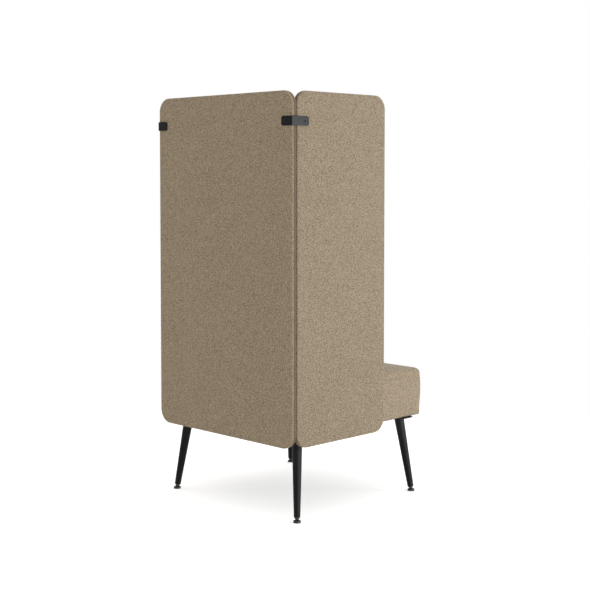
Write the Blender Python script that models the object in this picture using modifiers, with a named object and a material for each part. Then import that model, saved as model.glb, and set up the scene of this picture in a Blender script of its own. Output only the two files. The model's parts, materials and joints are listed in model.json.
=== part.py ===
"""A high back privacy chair, modelled as the separate pieces it is assembled from.

Metres, +Z up. The chair looks along -Y and X = 0 is its middle plane. The origin is on
the floor, in the middle of the overall width and depth. Left is the -X side and right
the +X side, as seen by someone who stands in front of the chair.
"""

import math

import bmesh
import bpy
from mathutils import Matrix, Vector

# Room left between two pieces that touch, and how far a cutter runs past what it cuts.
CLEARANCE = 0.0003
OVERRUN = 0.004
# Vertices closer than this are one vertex.
MERGE_DISTANCE = 0.00001
UNIT_TOLERANCE = 0.000001

# The three screens: a board in an upholstered cover.
SCREEN_WIDTH = 0.700
SCREEN_HEIGHT = 1.200
SCREEN_BOTTOM_Z = 0.258
SCREEN_THICKNESS = 0.020
SCREEN_CORNER_RADIUS = 0.050
SCREEN_EDGE_RADIUS = 0.005
SIDE_SCREEN_DEPTH = 0.443
SCREEN_JOINT_GAP = 0.0025
CORE_THICKNESS = 0.012
CORE_MARGIN = 0.004
CORNER_SEGMENTS = 5
EDGE_SEGMENTS = 2
SMALL_CORNER_SEGMENTS = 3

# The corner brackets: flat bar bent to an L.
BRACKET_THICKNESS = 0.003
BRACKET_HEIGHT = 0.032
BRACKET_BACK_LEG = 0.048
BRACKET_SIDE_LEG = 0.076
BRACKET_BELOW_TOP = 0.101
BRACKET_END_RADIUS = 0.007
BRACKET_BEND_RADIUS = 0.004
BRACKET_SEGMENTS = 4
BRACKET_SCREW_FROM_END = 0.0165
BRACKET_SCREW_RADIUS = 0.002
BRACKET_SCREW_LENGTH = 0.014
BRACKET_HEAD_RADIUS = 0.0038
BRACKET_HEAD_HEIGHT = 0.0016
BRACKET_SOCKET_RADIUS = 0.0018
BRACKET_SOCKET_DEPTH = 0.0009

# The seat block. It keeps the same gap to the back screen and to both side screens.
SEAT_REACH = 0.718
SEAT_GAP = 0.005
SEAT_BOTTOM_Z = 0.281
SEAT_EDGE_Z = 0.455
SEAT_CROWN = 0.009
SEAT_FRONT_DROP = 0.004
SEAT_CORNER_RADIUS = 0.022
SEAT_RIM_WIDTH = 0.024
SEAT_RIM_HEIGHT = 0.032
SEAT_FOOT_RADIUS = 0.009
SEAT_BULGE = 0.004
SEAT_PADDING = 0.012
RAIL_THICKNESS = 0.020
RAIL_HEIGHT = 0.070
BASE_BOARD_THICKNESS = 0.018
DECK_THICKNESS = 0.009
DUST_COVER_THICKNESS = 0.0008
DUST_COVER_MARGIN = 0.012
# Place of the cross rail, as a share of the frame's depth from the rear.
cross_rail_share = 0.62

# The back cushion, which leans on the back screen and stands on the seat.
BACK_CUSHION_SIDE_GAP = 0.012
BACK_CUSHION_HEIGHT = 0.510
BACK_CUSHION_DEPTH = 0.116
BACK_CUSHION_CROWN = 0.014
BACK_CUSHION_CORNER_RADIUS = 0.030
BACK_CUSHION_RIM_WIDTH = 0.026
BACK_CUSHION_RIM_HEIGHT = 0.034
BACK_CUSHION_FOOT_RADIUS = 0.008
BACK_CUSHION_BULGE = 0.003
BACK_BOARD_THICKNESS = 0.012
BACK_BOARD_MARGIN = 0.030
STRIP_WIDTH = 0.040
STRIP_THICKNESS = 0.002
# Length of the fastening strips and their two heights, as shares of the cushion.
strip_length_share = 0.66
strip_height_shares = {"lower": 0.22, "upper": 0.78}

# Bolts and sleeves that hold the screens to the seat frame.
BOLT_RADIUS = 0.004
BOLT_HEAD_RADIUS = 0.0065
BOLT_HEAD_HEIGHT = 0.005
BOLT_IN_CORE = 0.009
SLEEVE_RADIUS = 0.008
# Places along the seat's side, from the rear, and across its back, from the middle.
side_bolt_shares = {"rear": 0.16, "front": 0.84}
back_bolt_shares = {"left": -0.36, "middle": 0, "right": 0.36}

# Legs, plates and glides. The feet stand in from the screens' outer faces and from the
# seat's front.
FOOT_SIDE_INSET = 0.0295
REAR_FOOT_INSET = 0.053
FRONT_FOOT_INSET = 0.065
LEG_SPLAY = math.radians(9.8)
LEG_TOP_RADIUS = 0.0180
LEG_END_RADIUS = 0.0112
LEG_WALL = 0.0015
LEG_PLATE_SIZE = 0.077
LEG_PLATE_THICKNESS = 0.004
LEG_PLATE_CORNER = 0.008
PLATE_SCREW_SPACING = 0.040
PLATE_SCREW_RADIUS = 0.0022
PLATE_SCREW_LENGTH = 0.019
PLATE_SCREW_HEAD_RADIUS = 0.0045
PLATE_SCREW_HEAD_HEIGHT = 0.0026
INSERT_LENGTH = 0.020
INSERT_FLANGE = 0.0015
INSERT_CHAMFER = 0.0007
GLIDE_RADIUS = 0.0133
GLIDE_DISC_HEIGHT = 0.0060
GLIDE_EDGE = 0.0007
GLIDE_HUB_RADIUS = 0.0070
GLIDE_HUB_FOOT_RADIUS = 0.0106
GLIDE_HUB_RISE = 0.0024
BALL_CENTRE_Z = 0.0068
BALL_RADIUS = 0.0038
STUD_NECK_RADIUS = 0.0022
STUD_NECK_TOP = 0.0049
STUD_COLLAR_HEIGHT = 0.0046
STUD_COLLAR_RADIUS = 0.0085
STUD_RADIUS = 0.004
STUD_LENGTH = 0.020
STUD_CHAMFER = 0.0006

# The two sides, with the word for each.
SIDES = ((-1, "left"), (1, "right"))

ROUND_STEPS = 20
SMALL_STEPS = 12
BOLT_STEPS = 10
SCREW_STEPS = 6
SOCKET_SIDES = 6
ARC_STEPS = 4

# Places worked out from the sizes above.
bracket_skin = CLEARANCE + BRACKET_THICKNESS
back_face_y = (SEAT_REACH - bracket_skin - CLEARANCE - BRACKET_HEAD_HEIGHT) / 2
back_inner_y = back_face_y - SCREEN_THICKNESS
side_face_x = SCREEN_WIDTH / 2
screen_middle_z = SCREEN_BOTTOM_Z + SCREEN_HEIGHT / 2
side_middle_y = back_inner_y - SCREEN_JOINT_GAP - SIDE_SCREEN_DEPTH / 2
side_middle_x = side_face_x - SCREEN_THICKNESS / 2
side_inner_x = side_face_x - SCREEN_THICKNESS

seat_rear_y = back_inner_y - SEAT_GAP
seat_front_y = back_face_y - SEAT_REACH
seat_length = seat_rear_y - seat_front_y
seat_middle_y = (seat_rear_y + seat_front_y) / 2
seat_side_x = side_inner_x - SEAT_GAP
seat_width = 2 * seat_side_x
frame_x = seat_side_x - SEAT_PADDING
frame_rear_y = seat_rear_y - SEAT_PADDING
frame_front_y = seat_front_y + SEAT_PADDING
base_top_z = SEAT_BOTTOM_Z + BASE_BOARD_THICKNESS
rail_low_z = base_top_z + CLEARANCE
rail_top_z = rail_low_z + RAIL_HEIGHT
deck_low_z = rail_top_z + CLEARANCE
deck_top_z = deck_low_z + DECK_THICKNESS
cushion_low_z = deck_top_z + CLEARANCE
dust_top_z = SEAT_BOTTOM_Z - CLEARANCE
dust_low_z = dust_top_z - DUST_COVER_THICKNESS
plate_top_z = dust_low_z - CLEARANCE
plate_low_z = plate_top_z - LEG_PLATE_THICKNESS
bolt_z = (rail_low_z + rail_top_z) / 2

strip_front_y = back_inner_y - CLEARANCE - STRIP_THICKNESS
board_rear_y = strip_front_y - CLEARANCE
board_front_y = board_rear_y - BACK_BOARD_THICKNESS
back_cushion_rear_y = board_front_y - CLEARANCE
back_cushion_front_y = back_cushion_rear_y - BACK_CUSHION_DEPTH
back_cushion_low_z = SEAT_EDGE_Z + CLEARANCE
back_cushion_width = 2 * (side_inner_x - BACK_CUSHION_SIDE_GAP)

collar_top = STUD_NECK_TOP + STUD_COLLAR_HEIGHT
flange_low = collar_top + CLEARANCE
flange_top = flange_low + INSERT_FLANGE
leg_end = flange_top + CLEARANCE
leg_length = (plate_low_z - BALL_CENTRE_Z) / math.cos(LEG_SPLAY)
bore_radius = STUD_RADIUS + CLEARANCE
pocket_radius = BALL_RADIUS + CLEARANCE


def clear_scene():
    for item in list(bpy.data.objects):
        bpy.data.objects.remove(item)


def make_material(name, colour, roughness, metallic):
    material = bpy.data.materials.new(name)
    material.use_nodes = True
    shader = material.node_tree.nodes["Principled BSDF"]
    shader.inputs["Base Color"].default_value = (*colour, 1)
    shader.inputs["Roughness"].default_value = roughness
    shader.inputs["Metallic"].default_value = metallic
    material.diffuse_color = (*colour, 1)
    return material


clear_scene()
parts = bpy.data.collections.new("high_back_privacy_chair")
cutters = bpy.data.collections.new("chair_cutters")
bpy.context.scene.collection.children.link(parts)
bpy.context.scene.collection.children.link(cutters)

fabric = make_material("taupe_fabric", (0.32, 0.25, 0.18), 0.92, 0)
black_metal = make_material("black_powder_coat", (0.020, 0.020, 0.021), 0.42, 0.3)
plywood = make_material("plywood", (0.55, 0.38, 0.22), 0.7, 0)
dark_cloth = make_material("dust_cloth", (0.012, 0.012, 0.013), 0.95, 0)
steel = make_material("zinc_plated_steel", (0.55, 0.55, 0.56), 0.3, 1)
black_plastic = make_material("black_plastic", (0.018, 0.018, 0.019), 0.5, 0)


def add_object(name, mesh, material=None, collection=parts):
    item = bpy.data.objects.new(name, mesh)
    collection.objects.link(item)
    if material:
        mesh.materials.clear()
        mesh.materials.append(material)
    return item


def mesh_of(shape, name):
    bmesh.ops.recalc_face_normals(shape, faces=shape.faces)
    mesh = bpy.data.meshes.new(name)
    shape.to_mesh(mesh)
    shape.free()
    return mesh


def smooth(mesh, angle=math.radians(40)):
    mesh.shade_smooth()
    mesh.set_sharp_from_angle(angle=angle)


def baked_mesh(source, name):
    """The mesh of an object with its modifiers, in the object's own frame; removes the object."""
    bpy.context.view_layer.update()
    graph = bpy.context.evaluated_depsgraph_get()
    mesh = bpy.data.meshes.new_from_object(source.evaluated_get(graph))
    mesh.name = name
    bpy.data.objects.remove(source)
    return mesh


def hide_cutter(item):
    item.hide_render = True
    item.display_type = 'WIRE'
    return item


def boolean(item, tool, operation='DIFFERENCE'):
    modifier = item.modifiers.new(operation.lower(), 'BOOLEAN')
    modifier.operation = operation
    modifier.solver = 'EXACT'
    modifier.object = tool
    return modifier


def box_mesh(name, size):
    shape = bmesh.new()
    bmesh.ops.create_cube(shape, size=1)
    bmesh.ops.scale(shape, vec=size, verts=shape.verts)
    return mesh_of(shape, name)


def box(name, low, high, material=None, collection=parts):
    """A box between two corners, with its origin in its middle."""
    low, high = Vector(low), Vector(high)
    item = add_object(name, box_mesh(name, high - low), material, collection)
    item.location = (low + high) / 2
    return item


def box_cutter(name, low, high):
    return hide_cutter(box(name, low, high, None, cutters))


def aimed(place, direction):
    """The matrix that puts a shape's origin at a place and its +Z along a direction."""
    turn = Vector(direction).to_track_quat('Z', 'Y').to_matrix().to_4x4()
    return Matrix.Translation(place) @ turn


def repeated_mesh(mesh, matrices, name):
    """One mesh that holds a copy of another at each matrix, as separate solids."""
    shape = bmesh.new()
    for matrix in matrices:
        copy = mesh.copy()
        copy.transform(matrix)
        shape.from_mesh(copy)
        bpy.data.meshes.remove(copy)
    result = bpy.data.meshes.new(name)
    shape.to_mesh(result)
    shape.free()
    return result


def turned(name, profile, steps, material=None, collection=parts, closed=False):
    """A round piece about local Z. The profile runs down the outer side, top to bottom."""
    mesh = bpy.data.meshes.new(name)
    count = len(profile)
    edges = [(index, index + 1) for index in range(count - 1)]
    if closed:
        edges.append((count - 1, 0))
    mesh.from_pydata([(radius, 0, height) for radius, height in profile], edges, [])
    item = add_object(name, mesh, material, collection)
    screw = item.modifiers.new("turn", 'SCREW')
    screw.axis = 'Z'
    screw.steps = steps
    screw.render_steps = steps
    screw.use_merge_vertices = True
    screw.merge_threshold = MERGE_DISTANCE
    screw.use_smooth_shade = True
    return item


def turned_mesh(name, profile, steps, closed=False):
    item = turned(name, profile, steps, None, parts, closed)
    mesh = baked_mesh(item, name)
    smooth(mesh)
    return mesh


def arc(radius, start, end, steps):
    """Points (radius, height) of an arc about the origin, between two angles from the +X side."""
    points = []
    for step in range(steps + 1):
        angle = start + (end - start) * step / steps
        points.append((radius * math.cos(angle), radius * math.sin(angle)))
    return points


def rod_cutter(name, radius, length, matrices, steps):
    """Cylinders that start OVERRUN before each matrix's origin and end at the length.

    A hole has as many sides as the shank in it, so that their flats lie side by side.
    """
    rod = turned_mesh(name, [(0, length), (radius, length), (radius, -OVERRUN), (0, -OVERRUN)], steps)
    return hide_cutter(add_object(name, repeated_mesh(rod, matrices, name), None, cutters))


def slab_mesh(name, size, corner_radius, corner_segments, edge_radius=0):
    """A slab upright in local XZ with round corners; its +Y face may have a round edge."""
    width, thickness, height = size
    shape = bmesh.new()
    bmesh.ops.create_cube(shape, size=1)
    bmesh.ops.scale(shape, vec=size, verts=shape.verts)
    through = []
    for edge in shape.edges:
        run = edge.verts[0].co - edge.verts[1].co
        if abs(run.y) > thickness / 2:
            through.append(edge)
    bmesh.ops.bevel(
        shape, geom=through, offset=corner_radius, offset_type='OFFSET',
        segments=corner_segments, profile=0.5, affect='EDGES')
    if edge_radius:
        face = max(shape.faces, key=lambda item: item.calc_center_median().y)
        bmesh.ops.bevel(
            shape, geom=list(face.edges), offset=edge_radius, offset_type='OFFSET',
            segments=EDGE_SEGMENTS, profile=0.5, affect='EDGES')
    return mesh_of(shape, name)


def bolt_matrices():
    """Name and matrix of each bolt: it starts on the inner face of a rail and runs out to a screen."""
    places = []
    overlap = seat_rear_y - (side_middle_y - SIDE_SCREEN_DEPTH / 2)
    start_x = frame_x - CLEARANCE - RAIL_THICKNESS
    for word, share in side_bolt_shares.items():
        for side, hand in SIDES:
            start = (side * start_x, seat_rear_y - share * overlap, bolt_z)
            places.append((f"{hand}_{word}", aimed(start, (side, 0, 0))))
    for word, share in back_bolt_shares.items():
        start = (share * seat_width, frame_rear_y - CLEARANCE - RAIL_THICKNESS, bolt_z)
        places.append((f"back_{word}", aimed(start, (0, 1, 0))))
    return places


def bracket_screw_matrices():
    """Name and matrix of each screw: it sits on a bracket's outer face and points into a core."""
    height = SCREEN_BOTTOM_Z + SCREEN_HEIGHT - BRACKET_BELOW_TOP
    across = side_face_x - BRACKET_BACK_LEG + BRACKET_SCREW_FROM_END
    along = back_face_y - BRACKET_SIDE_LEG + BRACKET_SCREW_FROM_END
    places = []
    for side, hand in SIDES:
        start = (side * across, back_face_y + bracket_skin, height)
        places.append((f"{hand}_back", aimed(start, (0, -1, 0))))
        start = (side * (side_face_x + bracket_skin), along, height)
        places.append((f"{hand}_side", aimed(start, (-side, 0, 0))))
    return places


def leg_places():
    """Name, side (-1 left, 1 right), end (1 rear, -1 front) and ball centre of each leg."""
    places = []
    rear_foot_y = back_face_y - REAR_FOOT_INSET
    front_foot_y = seat_front_y + FRONT_FOOT_INSET
    for end, word, foot_y in ((1, "rear", rear_foot_y), (-1, "front", front_foot_y)):
        for side, hand in SIDES:
            centre = Vector((side * (side_face_x - FOOT_SIDE_INSET), foot_y, BALL_CENTRE_Z))
            places.append((f"{word}_{hand}", side, end, centre))
    return places


def leg_direction(side, end):
    """Unit vector up the leg's axis, from the glide towards the seat's middle."""
    lean = math.sin(LEG_SPLAY) / math.sqrt(2)
    return Vector((-side * lean, -end * lean, math.cos(LEG_SPLAY)))


def plate_centre(side, end, centre):
    """Where the leg's axis meets the underside of its plate."""
    return centre + leg_direction(side, end) * leg_length


def plate_screw_matrices(middle):
    """The four screws of the leg plate whose underside has this middle."""
    half = PLATE_SCREW_SPACING / 2
    places = []
    for across in (-half, half):
        for along in (-half, half):
            places.append(Matrix.Translation((middle.x + across, middle.y + along, plate_low_z)))
    return places


def make_screen_bolts():
    """Each bolt with its spacer sleeve, and the cutters of their two sizes of hole."""
    shoulder_start = RAIL_THICKNESS + CLEARANCE
    cover = (SCREEN_THICKNESS - CORE_THICKNESS) / 2
    shoulder_end = shoulder_start + SEAT_PADDING + SEAT_GAP + cover - CLEARANCE
    length = shoulder_end + CLEARANCE + BOLT_IN_CORE
    bolt = turned_mesh("screen_bolt", [
        (0, length),
        (BOLT_RADIUS, length),
        (BOLT_RADIUS, shoulder_end),
        (SLEEVE_RADIUS, shoulder_end),
        (SLEEVE_RADIUS, shoulder_start),
        (BOLT_RADIUS, shoulder_start),
        (BOLT_RADIUS, -CLEARANCE),
        (BOLT_HEAD_RADIUS, -CLEARANCE),
        (BOLT_HEAD_RADIUS, -CLEARANCE - BOLT_HEAD_HEIGHT),
        (0, -CLEARANCE - BOLT_HEAD_HEIGHT)], BOLT_STEPS)
    matrices = []
    for name, matrix in bolt_matrices():
        add_object("screen_bolt_" + name, bolt, steel).matrix_world = matrix
        matrices.append(matrix)
    bolt_holes = rod_cutter(
        "bolt_hole_cutter", BOLT_RADIUS + CLEARANCE, length + CLEARANCE, matrices, BOLT_STEPS)
    sleeve_holes = rod_cutter(
        "sleeve_hole_cutter", SLEEVE_RADIUS + CLEARANCE, shoulder_end + OVERRUN, matrices, BOLT_STEPS)
    return bolt_holes, sleeve_holes


def make_bracket_screws():
    """Low round heads with a hexagon socket, and the cutter of their holes."""
    seat = -CLEARANCE
    top = seat - BRACKET_HEAD_HEIGHT
    dome = BRACKET_HEAD_HEIGHT / 2
    head = turned("bracket_screw", [
        (0, BRACKET_SCREW_LENGTH),
        (BRACKET_SCREW_RADIUS, BRACKET_SCREW_LENGTH),
        (BRACKET_SCREW_RADIUS, seat),
        (BRACKET_HEAD_RADIUS, seat),
        (BRACKET_HEAD_RADIUS, seat - dome),
        (BRACKET_HEAD_RADIUS - dome, top),
        (0, top)], SMALL_STEPS)
    socket = rod_cutter(
        "socket_cutter", BRACKET_SOCKET_RADIUS, BRACKET_SOCKET_DEPTH, [Matrix.Translation((0, 0, top))],
        SOCKET_SIDES)
    boolean(head, socket)
    screw = baked_mesh(head, "bracket_screw")
    smooth(screw)
    matrices = []
    for name, matrix in bracket_screw_matrices():
        add_object("bracket_screw_" + name, screw, black_metal).matrix_world = matrix
        matrices.append(matrix)
    return rod_cutter(
        "bracket_hole_cutter", BRACKET_SCREW_RADIUS + CLEARANCE, BRACKET_SCREW_LENGTH + CLEARANCE,
        matrices, SMALL_STEPS)


def plate_screw_mesh():
    top = -PLATE_SCREW_HEAD_HEIGHT
    return turned_mesh("leg_plate_screw", [
        (0, PLATE_SCREW_LENGTH),
        (PLATE_SCREW_RADIUS, PLATE_SCREW_LENGTH),
        (PLATE_SCREW_RADIUS, LEG_PLATE_THICKNESS / 2),
        (PLATE_SCREW_HEAD_RADIUS, LEG_PLATE_THICKNESS / 2),
        (PLATE_SCREW_HEAD_RADIUS, top / 2),
        (PLATE_SCREW_RADIUS, top),
        (0, top)], SCREW_STEPS)


def make_screen(prefix, width, middle, turn, bolt_holes, sleeve_holes, bracket_holes):
    """A core board between two upholstered half covers that meet round its edge."""
    core_width = width - 2 * CORE_MARGIN
    core_height = SCREEN_HEIGHT - 2 * CORE_MARGIN
    core_corner = SCREEN_CORNER_RADIUS - CORE_MARGIN
    core_size = (core_width, CORE_THICKNESS, core_height)
    core_mesh = slab_mesh(prefix + "_core", core_size, core_corner, CORNER_SEGMENTS)
    core = add_object(prefix + "_core", core_mesh, plywood)

    pocket_size = [length + 2 * CLEARANCE for length in core_size]
    pocket_mesh = slab_mesh(prefix + "_pocket", pocket_size, core_corner + CLEARANCE, CORNER_SEGMENTS)
    pocket = hide_cutter(add_object(prefix + "_pocket_cutter", pocket_mesh, None, cutters))

    half = (SCREEN_THICKNESS - CLEARANCE) / 2
    cover_mesh = slab_mesh(
        prefix + "_cover", (width, half, SCREEN_HEIGHT), SCREEN_CORNER_RADIUS, CORNER_SEGMENTS,
        SCREEN_EDGE_RADIUS)
    smooth(cover_mesh)
    cover_mesh.transform(Matrix.Translation((0, (half + CLEARANCE) / 2, 0)))
    outer = add_object(prefix + "_outer_cover", cover_mesh, fabric)
    inner = add_object(prefix + "_inner_cover", cover_mesh.copy(), fabric)
    for item in (core, pocket, outer, inner):
        item.location = middle
        item.rotation_euler = (0, 0, turn)
    inner.rotation_euler = (0, 0, turn + math.pi)

    boolean(outer, pocket)
    boolean(inner, pocket)
    boolean(core, bolt_holes)
    boolean(core, bracket_holes)
    boolean(inner, sleeve_holes)
    boolean(outer, bracket_holes)


def make_bracket(name, side, bracket_holes):
    """Flat bar bent round the rear edge of a side screen and the end of the back screen."""
    outer_x = side_face_x + CLEARANCE
    outer_y = back_face_y + CLEARANCE
    path = [Vector((side_face_x - BRACKET_BACK_LEG, outer_y))]
    corner = Vector((outer_x - BRACKET_BEND_RADIUS, outer_y - BRACKET_BEND_RADIUS))
    quarter = math.pi / 2
    for x, y in arc(BRACKET_BEND_RADIUS, quarter, 0, BRACKET_SEGMENTS):
        path.append(corner + Vector((x, y)))
    path.append(Vector((outer_x, back_face_y - BRACKET_SIDE_LEG)))

    shape = bmesh.new()
    half = BRACKET_HEIGHT / 2
    lower = [shape.verts.new((side * point.x, point.y, -half)) for point in path]
    strip_edges = [shape.edges.new(pair) for pair in zip(lower, lower[1:])]
    grown = bmesh.ops.extrude_edge_only(shape, edges=strip_edges)
    upper = [item for item in grown["geom"] if isinstance(item, bmesh.types.BMVert)]
    bmesh.ops.translate(shape, vec=(0, 0, BRACKET_HEIGHT), verts=upper)
    ends = []
    for vertex in shape.verts:
        at_end = vertex.co.y < back_face_y - BRACKET_SIDE_LEG / 2
        at_end = at_end or abs(vertex.co.x) < side_face_x - BRACKET_BACK_LEG / 2
        if at_end:
            ends.append(vertex)
    bmesh.ops.bevel(
        shape, geom=ends, offset=BRACKET_END_RADIUS, offset_type='OFFSET',
        segments=BRACKET_SEGMENTS, profile=0.5, affect='VERTICES')
    shape.normal_update()
    rearmost = max(shape.faces, key=lambda face: face.calc_center_median().y)
    if rearmost.normal.y < 0:
        bmesh.ops.reverse_faces(shape, faces=shape.faces)
    mesh = bpy.data.meshes.new(name)
    shape.to_mesh(mesh)
    shape.free()
    smooth(mesh)
    bracket = add_object(name, mesh, black_metal)
    bracket.location = (0, 0, SCREEN_BOTTOM_Z + SCREEN_HEIGHT - BRACKET_BELOW_TOP)
    wall = bracket.modifiers.new("thickness", 'SOLIDIFY')
    wall.thickness = BRACKET_THICKNESS
    wall.offset = 1
    wall.use_even_offset = True
    boolean(bracket, bracket_holes)
    return bracket


def round_plan(across, along, half_x, half_y, corner):
    """A point of the unit square, from -1 to 1, moved into a rectangle with round corners."""
    point = Vector((across * half_x, along * half_y))
    centre = Vector((
        max(corner - half_x, min(half_x - corner, point.x)),
        max(corner - half_y, min(half_y - corner, point.y))))
    offset = point - centre
    if offset.x and offset.y:
        reach = max(abs(offset.x), abs(offset.y))
        offset = offset * (reach / offset.length)
    return centre + offset


def cushion_mesh(name, size, corner, rim, foot, bulge, crown, rest_share=0, drop=0):
    """A coarse cage for a crowned block that stands on its flat underside, centred in plan.

    rim is the width and height of the rounding round the top, foot the radius below, bulge
    how far the sides swell at half height. rest_share is the part of the length, from the
    +Y end, that stays flat; drop lowers the top at the -Y end. Smoothing takes a share off
    the swell, which the cage adds beforehand.
    """
    width, length, height = size
    rim_width, rim_height = rim
    shape = bmesh.new()
    bmesh.ops.create_cube(shape, size=1)
    rim_share = rim_height / height
    foot_share = foot / height
    plan_shares = (0.3, 0.5, 0.7)
    smoothing_share = 0.25
    for axis, span in ((0, width), (1, length)):
        edge_share = corner / span
        for share in (edge_share, *plan_shares, 1 - edge_share):
            cut_across(shape, axis, share)
    upper = 1 - rim_share
    rise_shares = (
        foot_share / 2, foot_share, (foot_share + upper) / 2, upper, upper + rim_share / 3,
        upper + 2 * rim_share / 3)
    for share in rise_shares:
        cut_across(shape, 2, share)

    swell = bulge * (1 - smoothing_share)
    rest_edge = 1 - 2 * rest_share
    crown_middle = (rest_edge - 1) / 2
    for vertex in shape.verts:
        across = 2 * vertex.co.x
        along = 2 * vertex.co.y
        rise = vertex.co.z + 0.5
        if rise > upper:
            angle = math.pi / 2 * min(1, (rise - upper) / rim_share)
            inset = swell + rim_width * (1 - math.cos(angle))
            z = height - rim_height + rim_height * math.sin(angle)
        elif rise < foot_share:
            angle = math.pi / 2 * min(1, (foot_share - rise) / foot_share)
            inset = swell + foot * (1 - math.cos(angle))
            z = foot - foot * math.sin(angle)
        else:
            level = 2 * (rise - foot_share) / (upper - foot_share) - 1
            inset = bulge * (level * level - smoothing_share)
            z = rise * height
        plan = round_plan(across, along, width / 2 - inset, length / 2 - inset, corner)
        if rise > 1 - UNIT_TOLERANCE:
            lengthwise = 1 - ((along - crown_middle) / (crown_middle + 1)) ** 2
            z += crown * (1 - across * across) * max(0, lengthwise)
        if rise > upper - UNIT_TOLERANCE:
            slope = max(0, -along)
            z -= drop * slope * slope * slope
        vertex.co = (plan.x, plan.y, z)
    mesh = mesh_of(shape, name)
    mesh.shade_smooth()
    return mesh


def cut_across(shape, axis, share):
    """Cuts the unit cube all round at a share of its span."""
    place = Vector((0, 0, 0))
    place[axis] = share - 0.5
    normal = Vector((0, 0, 0))
    normal[axis] = 1
    geometry = list(shape.verts) + list(shape.edges) + list(shape.faces)
    bmesh.ops.bisect_plane(shape, geom=geometry, dist=UNIT_TOLERANCE, plane_co=place, plane_no=normal)


def subdivide(item):
    modifier = item.modifiers.new("soft", 'SUBSURF')
    modifier.levels = 1
    modifier.render_levels = 1
    return modifier


def make_seat_upholstery(sleeve_holes):
    """One soft block, parted into the cushion on the deck and the padding on each rail."""
    rest = (seat_rear_y - back_cushion_front_y) / seat_length
    block = add_object("seat_block", cushion_mesh(
        "seat_block", (seat_width, seat_length, SEAT_EDGE_Z - SEAT_BOTTOM_Z), SEAT_CORNER_RADIUS,
        (SEAT_RIM_WIDTH, SEAT_RIM_HEIGHT), SEAT_FOOT_RADIUS, SEAT_BULGE, SEAT_CROWN, rest, SEAT_FRONT_DROP))
    subdivide(block)
    form = baked_mesh(block, "seat_block")

    wide = seat_side_x + OVERRUN
    rear = seat_rear_y + OVERRUN
    front = seat_front_y - OVERRUN
    high = SEAT_EDGE_Z + SEAT_CROWN + OVERRUN
    low = SEAT_BOTTOM_Z - OVERRUN
    padding_top = cushion_low_z - CLEARANCE
    side_front = frame_front_y + CLEARANCE
    side_rear = frame_rear_y - CLEARANCE
    regions = {
        "seat_cushion": ((-wide, front, cushion_low_z), (wide, rear, high)),
        "seat_padding_front": ((-wide, front, low), (wide, frame_front_y, padding_top)),
        "seat_padding_rear": ((-wide, frame_rear_y, low), (wide, rear, padding_top)),
        "seat_padding_left": ((-wide, side_front, low), (-frame_x, side_rear, padding_top)),
        "seat_padding_right": ((frame_x, side_front, low), (wide, side_rear, padding_top)),
    }
    for name, (low_corner, high_corner) in regions.items():
        piece = add_object(name, form.copy(), fabric)
        piece.location = (0, seat_middle_y, SEAT_BOTTOM_Z)
        boolean(piece, box_cutter(name + "_region", low_corner, high_corner), 'INTERSECT')
        if name != "seat_cushion" and name != "seat_padding_front":
            boolean(piece, sleeve_holes)


def make_seat_frame(bolt_holes, plate_holes):
    """A shallow wooden box: base board, four rails, a cross rail and the deck."""
    x = frame_x - CLEARANCE
    rear = frame_rear_y - CLEARANCE
    front = frame_front_y + CLEARANCE
    base = box("seat_base_board", (-x, front, SEAT_BOTTOM_Z), (x, rear, base_top_z), plywood)
    boolean(base, plate_holes)
    box("seat_deck", (-x, front, deck_low_z), (x, rear, deck_top_z), plywood)

    inner_x = x - RAIL_THICKNESS
    rear_inner = rear - RAIL_THICKNESS
    front_inner = front + RAIL_THICKNESS
    rear_rail = box("seat_rear_rail", (-x, rear_inner, rail_low_z), (x, rear, rail_top_z), plywood)
    box("seat_front_rail", (-x, front, rail_low_z), (x, front_inner, rail_top_z), plywood)
    side_low = front_inner + CLEARANCE
    side_high = rear_inner - CLEARANCE
    left = box("seat_left_rail", (-x, side_low, rail_low_z), (-inner_x, side_high, rail_top_z), plywood)
    right = box("seat_right_rail", (inner_x, side_low, rail_low_z), (x, side_high, rail_top_z), plywood)
    for rail in (rear_rail, left, right):
        boolean(rail, bolt_holes)
    cross_y = rear - cross_rail_share * (rear - front)
    cross_x = inner_x - CLEARANCE
    box(
        "seat_cross_rail", (-cross_x, cross_y, rail_low_z),
        (cross_x, cross_y + RAIL_THICKNESS, rail_top_z), plywood)

    edge_x = seat_side_x - DUST_COVER_MARGIN
    cover = box(
        "dust_cover", (-edge_x, seat_front_y + DUST_COVER_MARGIN, dust_low_z),
        (edge_x, seat_rear_y - DUST_COVER_MARGIN, dust_top_z), dark_cloth)
    boolean(cover, plate_holes)


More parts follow.
